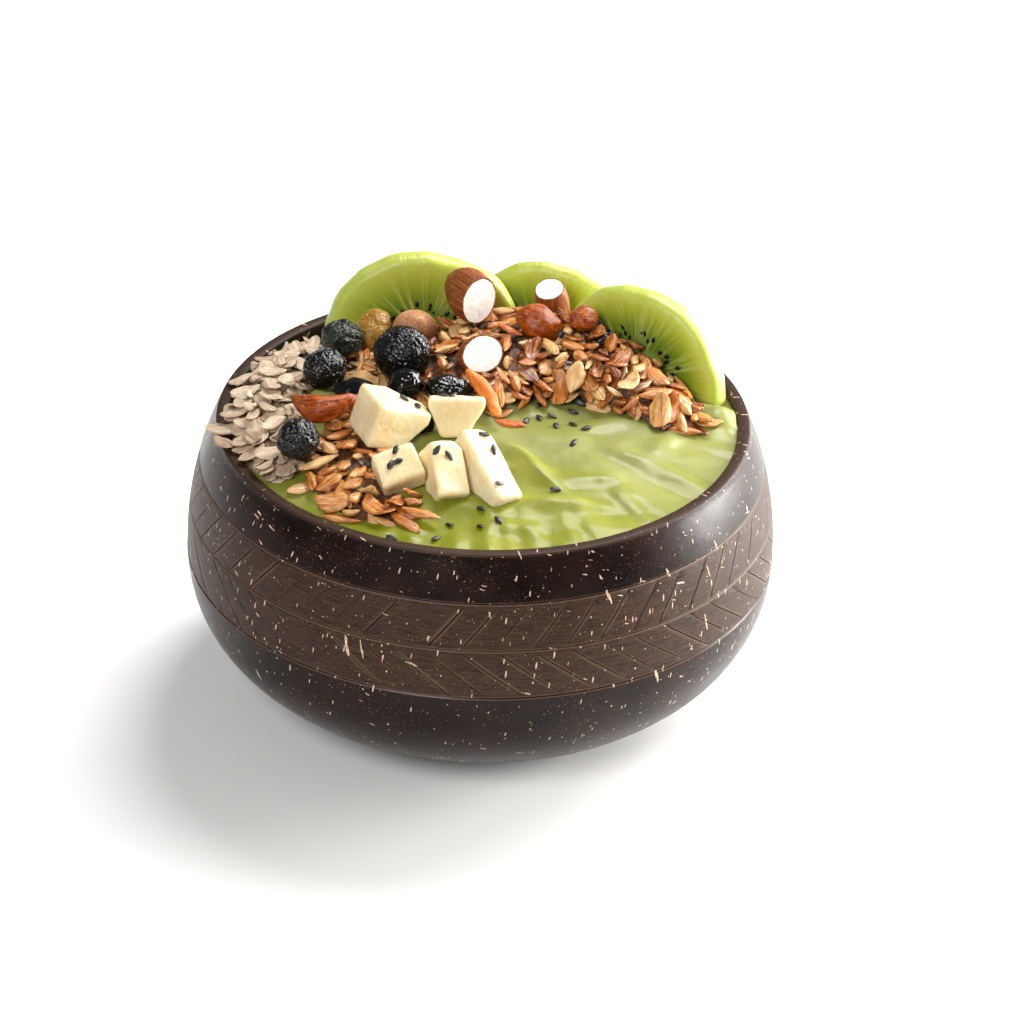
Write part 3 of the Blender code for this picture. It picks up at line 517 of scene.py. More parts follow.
def smoothie_finish():
    """Moist and a little milky, with pulp in it. A pale painted sheen is mixed in towards the back."""
    finish = Finish("green_smoothie", 0.45, subsurface_weight=0.25, subsurface_scale=2.0 * MM,
                    subsurface_radius=(1.0, 0.9, 0.35), specular_ior_level=0.20,
                    coat_weight=0.13, coat_roughness=0.12)
    spot = finish.place()
    clouds = finish.noise(spot, (17.0, 11.0, 16.0), 3.0, 0.5, 0.4)
    pulp = finish.noise(spot, (1.1, 1.1, 1.1), 3.0, 0.7)
    base = finish.ramp(clouds, (0.34, (0.19, 0.205, 0.005)), (0.54, (0.215, 0.228, 0.010)),
                       (0.72, (0.25, 0.258, 0.026)))
    _, y, _ = finish.parts(spot)
    # Painted sheen: the colour turns pale and whitish towards the back, as the sheen of the light from
    # behind.
    back = finish.ramp(finish.math("MULTIPLY_ADD", y, 18.0, 1.05), (0.15, 0.0), (0.7, 0.8))
    base = finish.mix(finish.math("MULTIPLY", back, clouds), base, (0.28, 0.285, 0.165))
    finish.colour(finish.fade(pulp, 0.35, 0.75, base, (0.17, 0.185, 0.004), 0.25))
    finish.roughness(finish.ramp(clouds, (0.3, 0.36), (0.7, 0.50)))
    finish.relief((pulp, 0.05), (finish.noise(spot, (5.5, 3.5, 5.5), 2.0), 0.18))
    return finish.material


def kiwi_finish():
    """Pale core, seed ring, bright flesh with pale rays and a paler peeled edge."""
    finish = Finish("kiwi_flesh", 0.42, subsurface_weight=0.5, subsurface_scale=4.0 * MM,
                    subsurface_radius=(0.9, 1.0, 0.3), coat_weight=0.12, coat_roughness=0.3)
    x, y, _ = finish.parts(finish.attribute("slice", "Vector"))
    flat = finish.vector(x, y)
    out = finish.length(flat)
    round_it = finish.node("VectorMath", {0: flat}, operation="NORMALIZE").outputs[0]
    ray_x, ray_y, _ = finish.parts(round_it)
    ray_place = finish.vector(finish.math("MULTIPLY", ray_x, 14.0),
                              finish.math("MULTIPLY", ray_y, 14.0),
                              finish.math("MULTIPLY", out, 1.2))
    rays = finish.noise(ray_place, None, 4.0, 0.6, 0.25)
    reach = finish.math("ADD", out, finish.math("MULTIPLY_ADD", rays, 0.12, -0.06))
    flesh = finish.ramp(reach, (0.12, (0.60, 0.63, 0.32)), (0.22, (0.42, 0.50, 0.11)),
                        (0.36, (0.105, 0.175, 0.007)), (0.54, (0.18, 0.26, 0.011)),
                        (0.74, (0.36, 0.44, 0.030)), (0.90, (0.50, 0.56, 0.085)))
    zone = finish.ramp(out, (0.22, 0.0), (0.40, 0.75), (0.72, 0.55), (0.90, 0.0))
    ray_share = finish.math("MULTIPLY", finish.ramp(rays, (0.48, 0.0), (0.66, 1.0)), zone)
    flesh = finish.mix(ray_share, flesh, (0.50, 0.56, 0.17))
    streaks = finish.noise(finish.place(), (2.4, 2.4, 9.0))
    side = finish.ramp(streaks, (0.35, (0.39, 0.45, 0.050)), (0.70, (0.47, 0.52, 0.12)))
    finish.colour(finish.fade(finish.attribute("peel"), 0.0, 1.0, flesh, side))
    finish.relief((rays, 0.25), (finish.noise(finish.place(), (0.9, 0.9, 0.9)), 0.10))
    return finish.material


def berry_finish(name, dark, light, roughness, wrinkle):
    """Wrinkled glossy skin, with dusty patches."""
    finish = Finish(name, roughness, specular_ior_level=0.42)
    spot = finish.place()
    bloom = finish.noise(spot, (2.6, 2.6, 2.6), 4.0)
    finish.colour(finish.fade(bloom, 0.45, 0.8, dark, light))
    finish.roughness(finish.ramp(bloom, (0.4, roughness * 0.7), (0.75, roughness * 1.5)))
    finish.relief((finish.noise(spot, (1.5, 1.5, 1.5), 3.0, 0.5, 1.0), wrinkle))
    return finish.material


def chunk_finish():
    """Soft cream flesh with slanting fibres."""
    finish = Finish("cream_fruit", 0.36, subsurface_weight=0.4, subsurface_scale=3.0 * MM,
                    subsurface_radius=(1.0, 0.8, 0.45), coat_weight=0.2, coat_roughness=0.25)
    spot = finish.place()
    clouds = finish.noise(spot, (7.0, 7.0, 7.0))
    fibres = finish.noise(spot, (0.8, 0.8, 3.5), turn=(35, 20, 0))
    tint = finish.ramp(clouds, (0.36, (0.82, 0.71, 0.47)), (0.66, (0.80, 0.63, 0.31)))
    finish.colour(finish.fade(fibres, 0.4, 0.8, tint, (0.89, 0.82, 0.62), 0.5))
    finish.relief((fibres, 0.12), (clouds, 0.6))
    return finish.material


def nut_skin_finish(name, dark, middle, light, roughness=0.5):
    """Papery skin with lengthwise streaks, read along the nut's own axis."""
    finish = Finish(name, roughness, specular_ior_level=0.36)
    grain = finish.attribute("grain", "Vector")
    streaks = finish.noise(grain, (7.0, 0.55, 0.55), 4.0, 0.65, 0.3)
    blotch = finish.noise(grain, (3.0, 3.0, 3.0))
    skin = finish.ramp(streaks, (0.32, dark), (0.5, middle), (0.68, light))
    finish.colour(finish.fade(blotch, 0.4, 0.75, skin, middle, 0.5))
    finish.relief((streaks, 0.22))
    return finish.material


def nut_flesh_finish():
    finish = Finish("nut_flesh", 0.6, subsurface_weight=0.2, subsurface_scale=1.5 * MM)
    grain = finish.noise(finish.place(), (1.2, 1.2, 1.2), 4.0, 0.6)
    finish.colour(finish.ramp(grain, (0.30, (0.86, 0.79, 0.66)), (0.52, (0.97, 0.95, 0.90))))
    finish.relief((grain, 0.15))
    return finish.material


def flake_finish(name, shades, dust, shade, roughness, streak_sizes):
    """Flakes: each has its own shade, with dark and pale streaks along it."""
    finish = Finish(name, roughness, subsurface_weight=0.06, subsurface_scale=0.8 * MM)
    tone = finish.attribute("tone")
    offset = finish.vector(finish.math("MULTIPLY", tone, 0.7), finish.math("MULTIPLY", tone, 0.4))
    spot = finish.node("VectorMath", {0: finish.attribute("grain", "Vector"), 1: offset},
                       operation="ADD").outputs[0]
    streaks = finish.noise(spot, streak_sizes, 3.0, 0.6, 0.5)
    blotch = finish.noise(spot, (2.6, 1.6, 2.0))
    base = finish.ramp(tone, *[(at / (len(shades) - 1), tint) for at, tint in enumerate(shades)])
    worn = finish.fade(streaks, 0.48, 0.72, base, dust, 0.75)
    dark = finish.mix(1.0, base, shade, "MULTIPLY")
    worn = finish.mix(finish.ramp(streaks, (0.28, 0.85), (0.44, 0.0)), worn, dark)
    finish.colour(finish.fade(blotch, 0.5, 0.78, worn, dark, 0.6))
    finish.relief((streaks, 0.45), (blotch, 0.3))
    return finish.material


def speck_finish(name, dark, light, roughness):
    """Small hard seeds and crumbs."""
    finish = Finish(name, roughness)
    grain = finish.noise(finish.place(), (0.7, 0.7, 0.7))
    finish.colour(finish.fade(grain, 0.4, 0.75, dark, light))
    finish.relief((grain, 0.12))
    return finish.material


def floor_finish():
    finish = Finish("pale_floor", 0.7)
    grain = finish.noise(finish.place(), (60.0, 60.0, 60.0), 2.0)
    finish.colour(finish.ramp(grain, (0.2, (0.90, 0.90, 0.895)), (0.8, (0.92, 0.92, 0.915))))
    return finish.material


def make_finishes():
    return {
        "shell": shell_finish(),
        "smoothie": smoothie_finish(),
        "kiwi": kiwi_finish(),
        "chunk": chunk_finish(),
        "nut_flesh": nut_flesh_finish(),
        "floor": floor_finish(),
        **{key: berry_finish(*row) for key, row in BERRY_FINISHES.items()},
        **{key: nut_skin_finish(*row) for key, row in NUT_FINISHES.items()},
        **{key: flake_finish(*row) for key, row in FLAKE_FINISHES.items()},
        **{key: speck_finish(*row) for key, row in SPECK_FINISHES.items()},
    }


# ---- Shaping ----


def spaced(start, end, count):
    """Evenly spaced numbers, both ends included."""
    return [start + (end - start) * step / (count - 1) for step in range(count)]


def clamp(value):
    return min(max(value, 0.0), 1.0)


def placed(centre, rotation_degrees):
    """A matrix from a centre in millimetres and a rotation in degrees."""
    turn = Euler([math.radians(angle) for angle in rotation_degrees])
    return Matrix.Translation(Vector(centre) * MM) @ turn.to_matrix().to_4x4()


def finished(name, bm, slot, looks, nodes=(), place=None, sharp=None):
    """The finished piece of a bmesh, moved to its place, riding on the frame."""
    if place:
        bmesh.ops.transform(bm, matrix=place, verts=bm.verts)
    mesh = bpy.data.meshes.new(name)
    bm.to_mesh(mesh)
    bm.free()
    mesh.shade_smooth()
    if sharp is not None:
        mesh.set_sharp_from_angle(angle=math.radians(sharp))
    for look in looks:
        mesh.materials.append(FINISHES[look])
    piece = bpy.data.objects.new(name, mesh)
    bpy.context.scene.collection.objects.link(piece)
    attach(piece, "root")
    if nodes:
        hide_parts(*nodes)


def spun(profile, turns):
    """A closed turned shape. The profile, in millimetres, starts and ends on the axis."""
    bm = bmesh.new()
    line = [bm.verts.new((radius * MM, 0.0, z * MM)) for radius, z in profile]
    edges = [bm.edges.new(pair) for pair in zip(line, line[1:])]
    bmesh.ops.spin(bm, geom=line + edges, cent=(0, 0, 0), axis=(0, 0, 1), angle=math.tau,
                   steps=turns, use_merge=True)
    bmesh.ops.remove_doubles(bm, verts=bm.verts, dist=FINE)
    bmesh.ops.recalc_face_normals(bm, faces=bm.faces)
    return bm


def ball(half_sizes, subdivisions):
    """An ellipsoid of half sizes in millimetres."""
    bm = bmesh.new()
    bmesh.ops.create_icosphere(bm, subdivisions=subdivisions, radius=1.0)
    bmesh.ops.scale(bm, verts=bm.verts, vec=Vector(half_sizes) * MM)
    return bm


def push(bm, depth_at):
    """Move each vertex along its normal by a depth in millimetres."""
    bm.normal_update()
    moves = [(vert, vert.normal * depth_at(vert.co / MM) * MM) for vert in bm.verts]
    for vert, move in moves:
        vert.co += move


def keep_grain(bm):
    """Store each vertex's own place along the piece, for streaks that follow it."""
    grain = bm.verts.layers.float_vector.new("grain")
    for vert in bm.verts:
        vert[grain] = vert.co


def creases(point, size, width):
    """Height of a wrinkled skin: 0 on the swellings, -1 in the creases between them."""
    return -(1 - clamp(abs(noise.noise(point / size)) / width)) ** 2


# ---- Bowl ----


def wall_radius(wall, z):
    radius, rise, drop = wall
    if z >= WIDEST_Z:
        return radius * math.sqrt(1 - ((z - WIDEST_Z) / rise) ** 2)
    return radius * max(1 - ((WIDEST_Z - z) / drop) ** LOWER_POWER, 0.0) ** (1 / LOWER_POWER)


def ring_rows(ring):
    return [ring + off for off in (RING_SHOULDER, RING_HALF, 0.0, -RING_HALF, -RING_SHOULDER)]


def outer_heights():
    """Heights of the outer wall's rows, from the rim down, close together on the carving."""
    top, middle, low = RINGS
    near_rim, upper, lower, near_foot = WALL_ROWS
    heights = spaced(BOWL_HEIGHT - RIM_ROUND, top + 2 * RING_SHOULDER, near_rim) + ring_rows(top)
    heights += spaced(top - RING_SHOULDER, middle + RING_SHOULDER, upper)[1:-1] + ring_rows(middle)
    heights += spaced(middle - RING_SHOULDER, low + RING_SHOULDER, lower)[1:-1] + ring_rows(low)
    return heights + spaced(low - 2 * RING_SHOULDER, FOOT_ROWS[0], near_foot) + FOOT_ROWS[1:]


def bowl_profile():
    inner_z = [FLOOR_Z + rise for rise in INNER_RISES]
    inner_z += spaced(INNER_TOP, BOWL_HEIGHT - RIM_ROUND, 5)
    inner = [(0.0, FLOOR_Z)] + [(wall_radius(INNER_WALL, z), z) for z in inner_z]
    outer = [(wall_radius(OUTER_WALL, z), z) for z in outer_heights()]
    centre_z = BOWL_HEIGHT - RIM_ROUND
    rim = []
    for angle in spaced(0.0, math.pi, 9)[1:-1]:
        side = inner[-1][0] + RIM_ROUND if angle < math.pi / 2 else outer[0][0] - RIM_ROUND
        rim.append((side - math.cos(angle) * RIM_ROUND, centre_z + math.sin(angle) * RIM_ROUND))
    return inner + rim + outer + [(outer[-1][0] * FOOT_INSET, 0.0), (0.0, 0.0)]


def groove_turn(z):
    """How far the slanting grooves have turned at a height, in degrees."""
    top, middle, low = RINGS
    up = clamp((z - middle) / (top - middle))
    down = clamp((middle - z) / (middle - low))
    return GROOVE_SLANTS[0] * up + GROOVE_SLANTS[1] * down


def groove_share(z, half):
    """How deep a groove is at a height: full in the middle, nothing just short of the rings."""
    along = (RINGS[half] - z) / (RINGS[half] - RINGS[half + 1])
    along = (along - GROOVE_ENDS) / (1 - 2 * GROOVE_ENDS)
    return clamp(1 - abs(2 * along - 1) ** 8) if 0 < along < 1 else 0.0


def carve(bm):
    """Cut the ring lines and the slanting grooves into the outer wall."""
    rng = random.Random(CARVE_SEED)
    strokes = [[(rng.uniform(-GROOVE_JITTER, GROOVE_JITTER), rng.uniform(*GROOVE_STRENGTHS))
                for _ in range(2)] for _ in range(GROOVES)]
    columns = GROOVES * GROOVE_COLUMNS
    # The groove mark sets each groove's depth and also its painted shade.
    mark = bm.verts.layers.float.new("groove")
    # The columns beside each groove are marked for a painted highlight on the groove's edges.
    edge = bm.verts.layers.float.new("groove_edge_highlight")
    for vert in bm.verts:
        x, y, z = vert.co / MM
        radius = math.hypot(x, y)
        if z < 1.0 or radius < wall_radius(OUTER_WALL, z) - RIM_ROUND:
            continue
        column = round(math.atan2(y, x) / math.tau * columns)
        near = (column + GROOVE_COLUMNS // 2) % GROOVE_COLUMNS - GROOVE_COLUMNS // 2
        angle = column * 360 / columns
        half = 0 if z > RINGS[1] else 1
        depth = BAND_RECESS if RINGS[2] < z < RINGS[0] else 0.0
        if abs(near) <= 1 and RINGS[2] < z < RINGS[0]:
            jitter, strength = strokes[(column - near) // GROOVE_COLUMNS % GROOVES][half]
            middle = (column - near) * 360 / columns
            angle = middle + jitter + near * math.degrees(GROOVE_HALF / radius)
            vert[mark if near == 0 else edge] = groove_share(z, half) * strength
            depth += GROOVE_DEPTH * vert[mark]
        if any(abs(z - ring) < RING_HALF / 2 for ring in RINGS):
            depth += RING_DEPTH
        turn = math.radians(angle + groove_turn(z))
        vert.co.x = math.cos(turn) * (radius - depth) * MM
        vert.co.y = math.sin(turn) * (radius - depth) * MM


def build_bowl():
    bm = spun(bowl_profile(), GROOVES * GROOVE_COLUMNS)
    carve(bm)
    finished("coconut_bowl", bm, "bowl", ["shell"], ["bowl"], sharp=40)


# ---- Smoothie ----


def edge_dip(x, y):
    """How far the smoothie lies lower at the back left wall."""
    off = math.degrees(math.atan2(y, x)) - BACK_DIP_ANGLE
    return BACK_DIP * math.exp(-(off / BACK_DIP_SPREAD) ** 2)


def surface_z(x, y):
    """Height of the smoothie's surface at x, y, all in millimetres, as in the solid."""
    reach = min(math.hypot(x, y) / FILL_RADIUS, 1.0)
    ripple = noise.noise(Vector((x / FOLD_LENGTH, FOLD_STRETCH * y / FOLD_LENGTH, 0.0)))
    smear_off = math.hypot(x - WALL_SMEAR[0], y - WALL_SMEAR[1]) / WALL_SMEAR_REACH
    smear = WALL_SMEAR_RISE * math.exp(-smear_off ** 2)
    rise = DOME_RISE * (1 - reach ** 2) + ripple * FOLD_DEPTH * (1 - reach ** 6)
    return FILL_EDGE_Z - edge_dip(x, y) * reach ** 3 + rise + smear


def lump_rise(x, y):
    """Height that the single lumps add."""
    rise = 0.0
    for middle_x, middle_y, half_length, half_width, turn, height in SMOOTHIE_LUMPS:
        cosine = math.cos(math.radians(turn))
        sine = math.sin(math.radians(turn))
        along = (x - middle_x) * cosine + (y - middle_y) * sine
        across = (y - middle_y) * cosine - (x - middle_x) * sine
        rise += height * math.exp(-(along / half_length) ** 2 - (across / half_width) ** 2)
    return rise


def wave(form, x, y):
    """The noise of one rolling form, without its height."""
    _, length, width, layer = form
    return noise.noise(Vector((x / length, y / width, layer)))


def folds(x, y):
    """Folds and lumps of the thick smoothie, most of them from side to side."""
    warp = wave(WARP, x, y) * WARP[0]
    cosine, sine = CREST_TURN
    along = cosine * x - sine * y
    across = sine * x + cosine * y + warp
    crest = math.exp(-(CREST_SHARPNESS * wave(CREST, along, across)) ** 2)
    reach = math.hypot(x, y) / FILL_RADIUS
    angle = math.atan2(y, x)
    height, count, layer = BULGES
    bulges = noise.noise(Vector((math.cos(angle) * count, math.sin(angle) * count, layer))) * reach ** 8
    waves = (CREST[0] * crest + BROAD[0] * wave(BROAD, x + warp, y) + LUMPS[0] * wave(LUMPS, x, y)
             + RIPPLES[0] * wave(RIPPLES, x, y) + height * bulges)
    return waves + lump_rise(x, y) * (1 - reach ** 12)


def build_smoothie():
    """A turned filling whose top is lifted to the surface and its folds."""
    heights = spaced(*FILL_SIDE) + [FILL_FOOT_Z]
    side = [(wall_radius(INNER_WALL, z) - FILL_GAP, z) for z in heights]
    edge = wall_radius(INNER_WALL, FILL_EDGE_Z) - FILL_GAP
    top = [(edge * ring / SMOOTHIE_RINGS, FILL_EDGE_Z) for ring in range(SMOOTHIE_RINGS + 1)]
    bm = spun(top + side + [(0.0, FLOOR_Z + FILL_GAP)], SMOOTHIE_TURNS)
    for vert in bm.verts:
        x, y, z = vert.co / MM
        if z < FILL_EDGE_Z - FILL_GAP:
            continue
        reach = math.hypot(x, y) / edge
        height = surface_z(x, y) + folds(x, y) * (1 - EDGE_CALM * reach ** 12)
        if reach > 1 - FINE:
            radius = wall_radius(INNER_WALL, height) - FILL_GAP
            vert.co.x *= radius / edge
            vert.co.y *= radius / edge
        vert.co.z = height * MM
    finished("smoothie_fill", bm, "smoothie", ["smoothie"], ["smoothie"])


# ---- Kiwi ----


def kiwi_place(row):
    _, centre, _, _, _, yaw, lean, roll, _ = row
    stand = Euler((math.radians(90 - lean), 0.0, math.radians(yaw))).to_matrix().to_4x4()
    turn = Matrix.Rotation(math.radians(roll), 4, "Z")
    return Matrix.Translation(Vector(centre) * MM) @ stand @ turn


def kiwi_lobes(angle, strokes):
    """A slice's outline: a little lobed, with a flat side from each stroke of the knife."""
    lobes = 1 + sum(size * math.cos(count * angle + shift) for count, size, shift in KIWI_LOBES)
    sides = [PEEL_REACH / max(math.cos(angle - stroke), 0.5) for stroke in strokes]
    return lobes * min(1.0, *sides)


def build_kiwi_slice(row):
    name, _, half_width, half_height, thickness, *_, ring = row
    rng = random.Random(name)
    strokes = [(index + rng.uniform(-0.25, 0.25)) * math.tau / PEEL_STROKES
               for index in range(PEEL_STROKES)]
    half = thickness / 2
    face = [(radius, half) for radius in spaced(0.0, half_width - KIWI_EDGE, KIWI_RINGS)]
    edge = [(half_width - KIWI_EDGE + KIWI_EDGE * math.sin(turn),
             half - KIWI_EDGE + KIWI_EDGE * math.cos(turn))
            for turn in spaced(0.0, math.pi / 2, 7)[1:]]
    front = face + edge
    back = [(radius, -z) for radius, z in reversed(front)]
    bm = spun(front + [(half_width + 0.15, 0.0)] + back, KIWI_TURNS)
    spot = bm.verts.layers.float_vector.new("slice")
    peel = bm.verts.layers.float.new("peel")
    for vert in bm.verts:
        x, y, z = vert.co / MM
        out = math.hypot(x, y) / half_width
        inner = (KIWI_SEED_RING / ring - 1) * clamp(1.4 - 1.4 * out) + 1
        vert[spot] = (x / half_width * inner, y / half_width * inner, z / half)
        vert[peel] = clamp((out - PEEL_START) / PEEL_WIDTH)
        lobes = 1 + (kiwi_lobes(math.atan2(y, x), strokes) - 1) * out ** 2
        dip = CORE_DIP * math.exp(-(out / CORE_RADIUS) ** 2)
        swell = noise.noise(Vector((x / 3, y / 3, z))) * 0.10 - dip
        vert.co = Vector((x * lobes, y * lobes * half_height / half_width,
                          z + math.copysign(swell, z) * (1 - out ** 8))) * MM
    finished(name + "_flesh", bm, "kiwi", ["kiwi"], [name], kiwi_place(row))


def build_kiwi_seeds():
    """Black seeds in a ring on both faces of each slice, half sunk in the flesh."""
    rng = random.Random(21)
    heap = Scatter()
    seed = Shape(ball(KIWI_SEED_SIZE, 2))
    for row in KIWI_SLICES:
        _, _, half_width, half_height, thickness, *_, ring = row
        for side in (1, -1):
            for index in range(KIWI_SEEDS):
                angle = (index + rng.uniform(-0.8, 0.8)) / KIWI_SEEDS * math.tau
                out = ring + rng.uniform(*KIWI_SEED_DRIFT)
                spot = (math.cos(angle) * out * half_width, math.sin(angle) * out * half_height,
                        side * (thickness / 2 - rng.uniform(0.0, KIWI_SEED_SUNK)))
                turn = (0, 0, math.degrees(angle) + rng.uniform(-14, 14))
                heap.add(seed, kiwi_place(row) @ placed(spot, turn), 0.0)
    finished("kiwi_seeds", heap.bm, "kiwi", ["kiwi_seed"])


# ---- Berries, nuts and chunks ----


def berry_skin(point):
    return sum(depth * creases(point + Vector(shift), size, width)
               for depth, size, width, shift in BERRY_CREASES)


def taut_skin(point):
    return 0.35 * berry_skin(point) + 0.3 * noise.noise(point / 4)


def nut_skin(point):
    ridges = noise.noise(Vector((point.x / 9, point.y / 1.1, point.z / 1.1)))
    return 0.16 * ridges


def smooth_skin(point):
    return 0.55 * noise.noise(point / 3.4) + 0.15 * noise.noise(point / 1.6)


SKINS = {"berry": berry_skin, "smooth_berry": taut_skin, "dried_fruit": taut_skin,
         "almond": nut_skin, "cashew": smooth_skin, "sliver": smooth_skin}
OWN_FINISHES = {"berry_back_left": "hazy_berry", "berry_flat": "smooth_berry",
                "berry_right": "smooth_berry", "berry_middle": "smooth_berry",
                "nut_whole": "cashew", "nut_small": "cashew", "almond_left": "pale_almond"}


def build_pebble(row):
    """A berry, nut or sliver: the solid's form, with the skin's wrinkles or ridges."""
    name, finish, half_sizes, centre, rotation, wrinkle, bend = row
    bm = ball(half_sizes, 6)
    length = half_sizes[0] * MM
    shift = Vector(centre)
    keep_grain(bm)
    for vert in bm.verts:
        spot = vert.co / (length * WRINKLE_SCALE) + shift
        vert.co *= 1 + wrinkle * noise.noise(spot)
        vert.co.y += bend * length * (BEND_MIDDLE - (vert.co.x / length) ** 2) * BEND_DEPTH
    own_finish = OWN_FINISHES.get(name, finish)
    skin = SKINS.get(own_finish, SKINS[finish])
    push(bm, lambda point: skin(point + shift))
    finished(name + "_skin", bm, finish, [own_finish], [name], placed(centre, rotation))


def almond_place(row):
    _, _, cut_centre, facing, spin, _ = row
    aim = Vector(facing).to_track_quat("X", "Z").to_matrix().to_4x4()
    turn = Matrix.Rotation(math.radians(spin), 4, "X")
    return Matrix.Translation(Vector(cut_centre) * MM) @ aim @ turn


def build_cut_almond(row):
    """A pointed almond with a rough, pale cut end, placed by the centre of its cut face."""
    name, half_sizes, _, _, _, cut_share = row
    bm = ball(half_sizes, 5)
    length = half_sizes[0] * MM
    for vert in bm.verts:
        slim = 1 - ALMOND_TAPER * max(-vert.co.x / length, 0.0) ** 2
        vert.co.y *= slim
        vert.co.z *= slim
    keep_grain(bm)
    push(bm, nut_skin)
    cut_x = cut_share * length
    whole = bm.verts[:] + bm.edges[:] + bm.faces[:]
    bmesh.ops.bisect_plane(bm, geom=whole, plane_co=(cut_x, 0, 0), plane_no=(1, 0, 0),
                           clear_outer=True)
    rim = [edge for edge in bm.edges if edge.is_boundary]
    cap = bmesh.ops.contextual_create(bm, geom=rim)["faces"][0]
    for ring, share in enumerate(CUT_RINGS):
        around = cap.calc_center_median()
        faces = set(bm.faces)
        cap = bmesh.ops.extrude_discrete_faces(bm, faces=[cap])["faces"][0]
        bmesh.ops.scale(bm, verts=cap.verts, vec=(share,) * 3, space=Matrix.Translation(-around))
        for face in set(bm.faces) - faces:
            face.material_index = 0 if ring == 0 else 1
    for face in bmesh.ops.poke(bm, faces=[cap])["faces"]:
        face.material_index = 1
    for vert in bm.verts:
        if all(face.material_index == 1 for face in vert.link_faces):
            vert.co.x += noise.noise(vert.co / (CUT_ROUGHNESS[0] * MM)) * CUT_ROUGHNESS[1] * MM
    bmesh.ops.translate(bm, verts=bm.verts, vec=(-cut_x, 0, 0))
    bmesh.ops.recalc_face_normals(bm, faces=bm.faces)
    looks = [OWN_FINISHES.get(name, "almond"), "nut_flesh"]
    finished(name + "_nut", bm, "almond", looks, [name], almond_place(row), 50)


def remesh_evenly(bm, grain):
    """Turn a closed form into a fine even mesh, with cells of grain millimetres."""
    mesh = bpy.data.meshes.new("rough")
    bm.to_mesh(mesh)
    rough = bpy.data.objects.new("rough", mesh)
    bpy.context.scene.collection.objects.link(rough)
    remesh = rough.modifiers.new("even", "REMESH")
    remesh.mode = "VOXEL"
    remesh.voxel_size = grain * MM
    even = rough.evaluated_get(bpy.context.evaluated_depsgraph_get()).to_mesh()
    bm.clear()
    bm.from_mesh(even)
    bpy.data.objects.remove(rough)
    bpy.data.meshes.remove(mesh)


def build_chunk(row):
    """A soft block of fruit, cut by a knife: rounded edges and slightly wavy faces."""
    name, size, centre, rotation, cuts, _ = row
    bm = bmesh.new()
    bmesh.ops.create_cube(bm, size=1.0)
    bmesh.ops.scale(bm, verts=bm.verts, vec=Vector(size) * MM)
    for facing, distance in cuts:
        facing = Vector(facing).normalized()
        whole = bm.verts[:] + bm.edges[:] + bm.faces[:]
        bmesh.ops.bisect_plane(bm, geom=whole, plane_co=facing * distance * MM, plane_no=facing,
                               clear_outer=True)
        rim = [edge for edge in bm.edges if edge.is_boundary]
        bmesh.ops.contextual_create(bm, geom=rim)
    remesh_evenly(bm, CHUNK_GRAIN)
    for _ in range(CHUNK_SOFTENING):
        bmesh.ops.smooth_vert(bm, verts=bm.verts, factor=0.5, use_axis_x=True, use_axis_y=True,
                              use_axis_z=True)
    shift = Vector(centre)
    push(bm, lambda point: 0.15 + 0.30 * noise.noise((point + shift) / 4.5)
         + 0.10 * noise.noise((point + shift) / 1.4))
    finished(name + "_flesh", bm, "chunk", ["chunk"], [name], placed(centre, rotation))


# ---- Heaps ----


class Shape:
    """A small shape that is laid many times: its mesh, its points and its faces."""

    def __init__(self, bm):
        keep_grain(bm)
        self.mesh = bpy.data.meshes.new("shape")
        self.points = [vert.co.copy() for vert in bm.verts]
        self.faces = [[vert.index for vert in face.verts] for face in bm.faces]
        bm.to_mesh(self.mesh)
        bm.free()

    def tree(self, matrix):
        return BVHTree.FromPolygons([matrix @ point for point in self.points], self.faces)


class Scatter:
    """One piece made of many small shapes, each with its own tone."""

    def __init__(self):
        self.bm = bmesh.new()
        self.grain = self.bm.verts.layers.float_vector.new("grain")
        self.tone = self.bm.verts.layers.float.new("tone")

    def add(self, shape, matrix, tone):
        start = len(self.bm.verts)
        self.bm.from_mesh(shape.mesh)
        self.bm.verts.ensure_lookup_table()
        for vert in self.bm.verts[start:]:
            vert[self.grain] = vert.co
            vert[self.tone] = tone
            vert.co = matrix @ vert.co


class Pile:
    """What lies in a heap so far, so that each new flake comes to rest on the ones below."""

    cell = 9 * MM

    def __init__(self, fixed):
        self.fixed = fixed
        self.cells = {}

    def near(self, spot):
        column, row = (math.floor(spot[axis] / self.cell) for axis in range(2))
        return [tree for i in (-1, 0, 1) for j in (-1, 0, 1)
                for tree in self.cells.get((column + i, row + j), ())]

    def settle(self, shape, spot, turn, tries):
        """Raise a shape until it is clear of the flakes below. None if it meets something fixed."""
        below = self.near(spot)
        for index in range(tries):
            matrix = Matrix.Translation(spot + Vector((0, 0, index * RISE_STEP * MM))) @ turn
            tree = shape.tree(matrix)
            if any(tree.overlap(other) for other in below):
                continue
            if any(tree.overlap(other) for other in self.fixed):
                return None
            key = tuple(math.floor(spot[axis] / self.cell) for axis in range(2))
            self.cells.setdefault(key, []).append(tree)
            return matrix
        return None


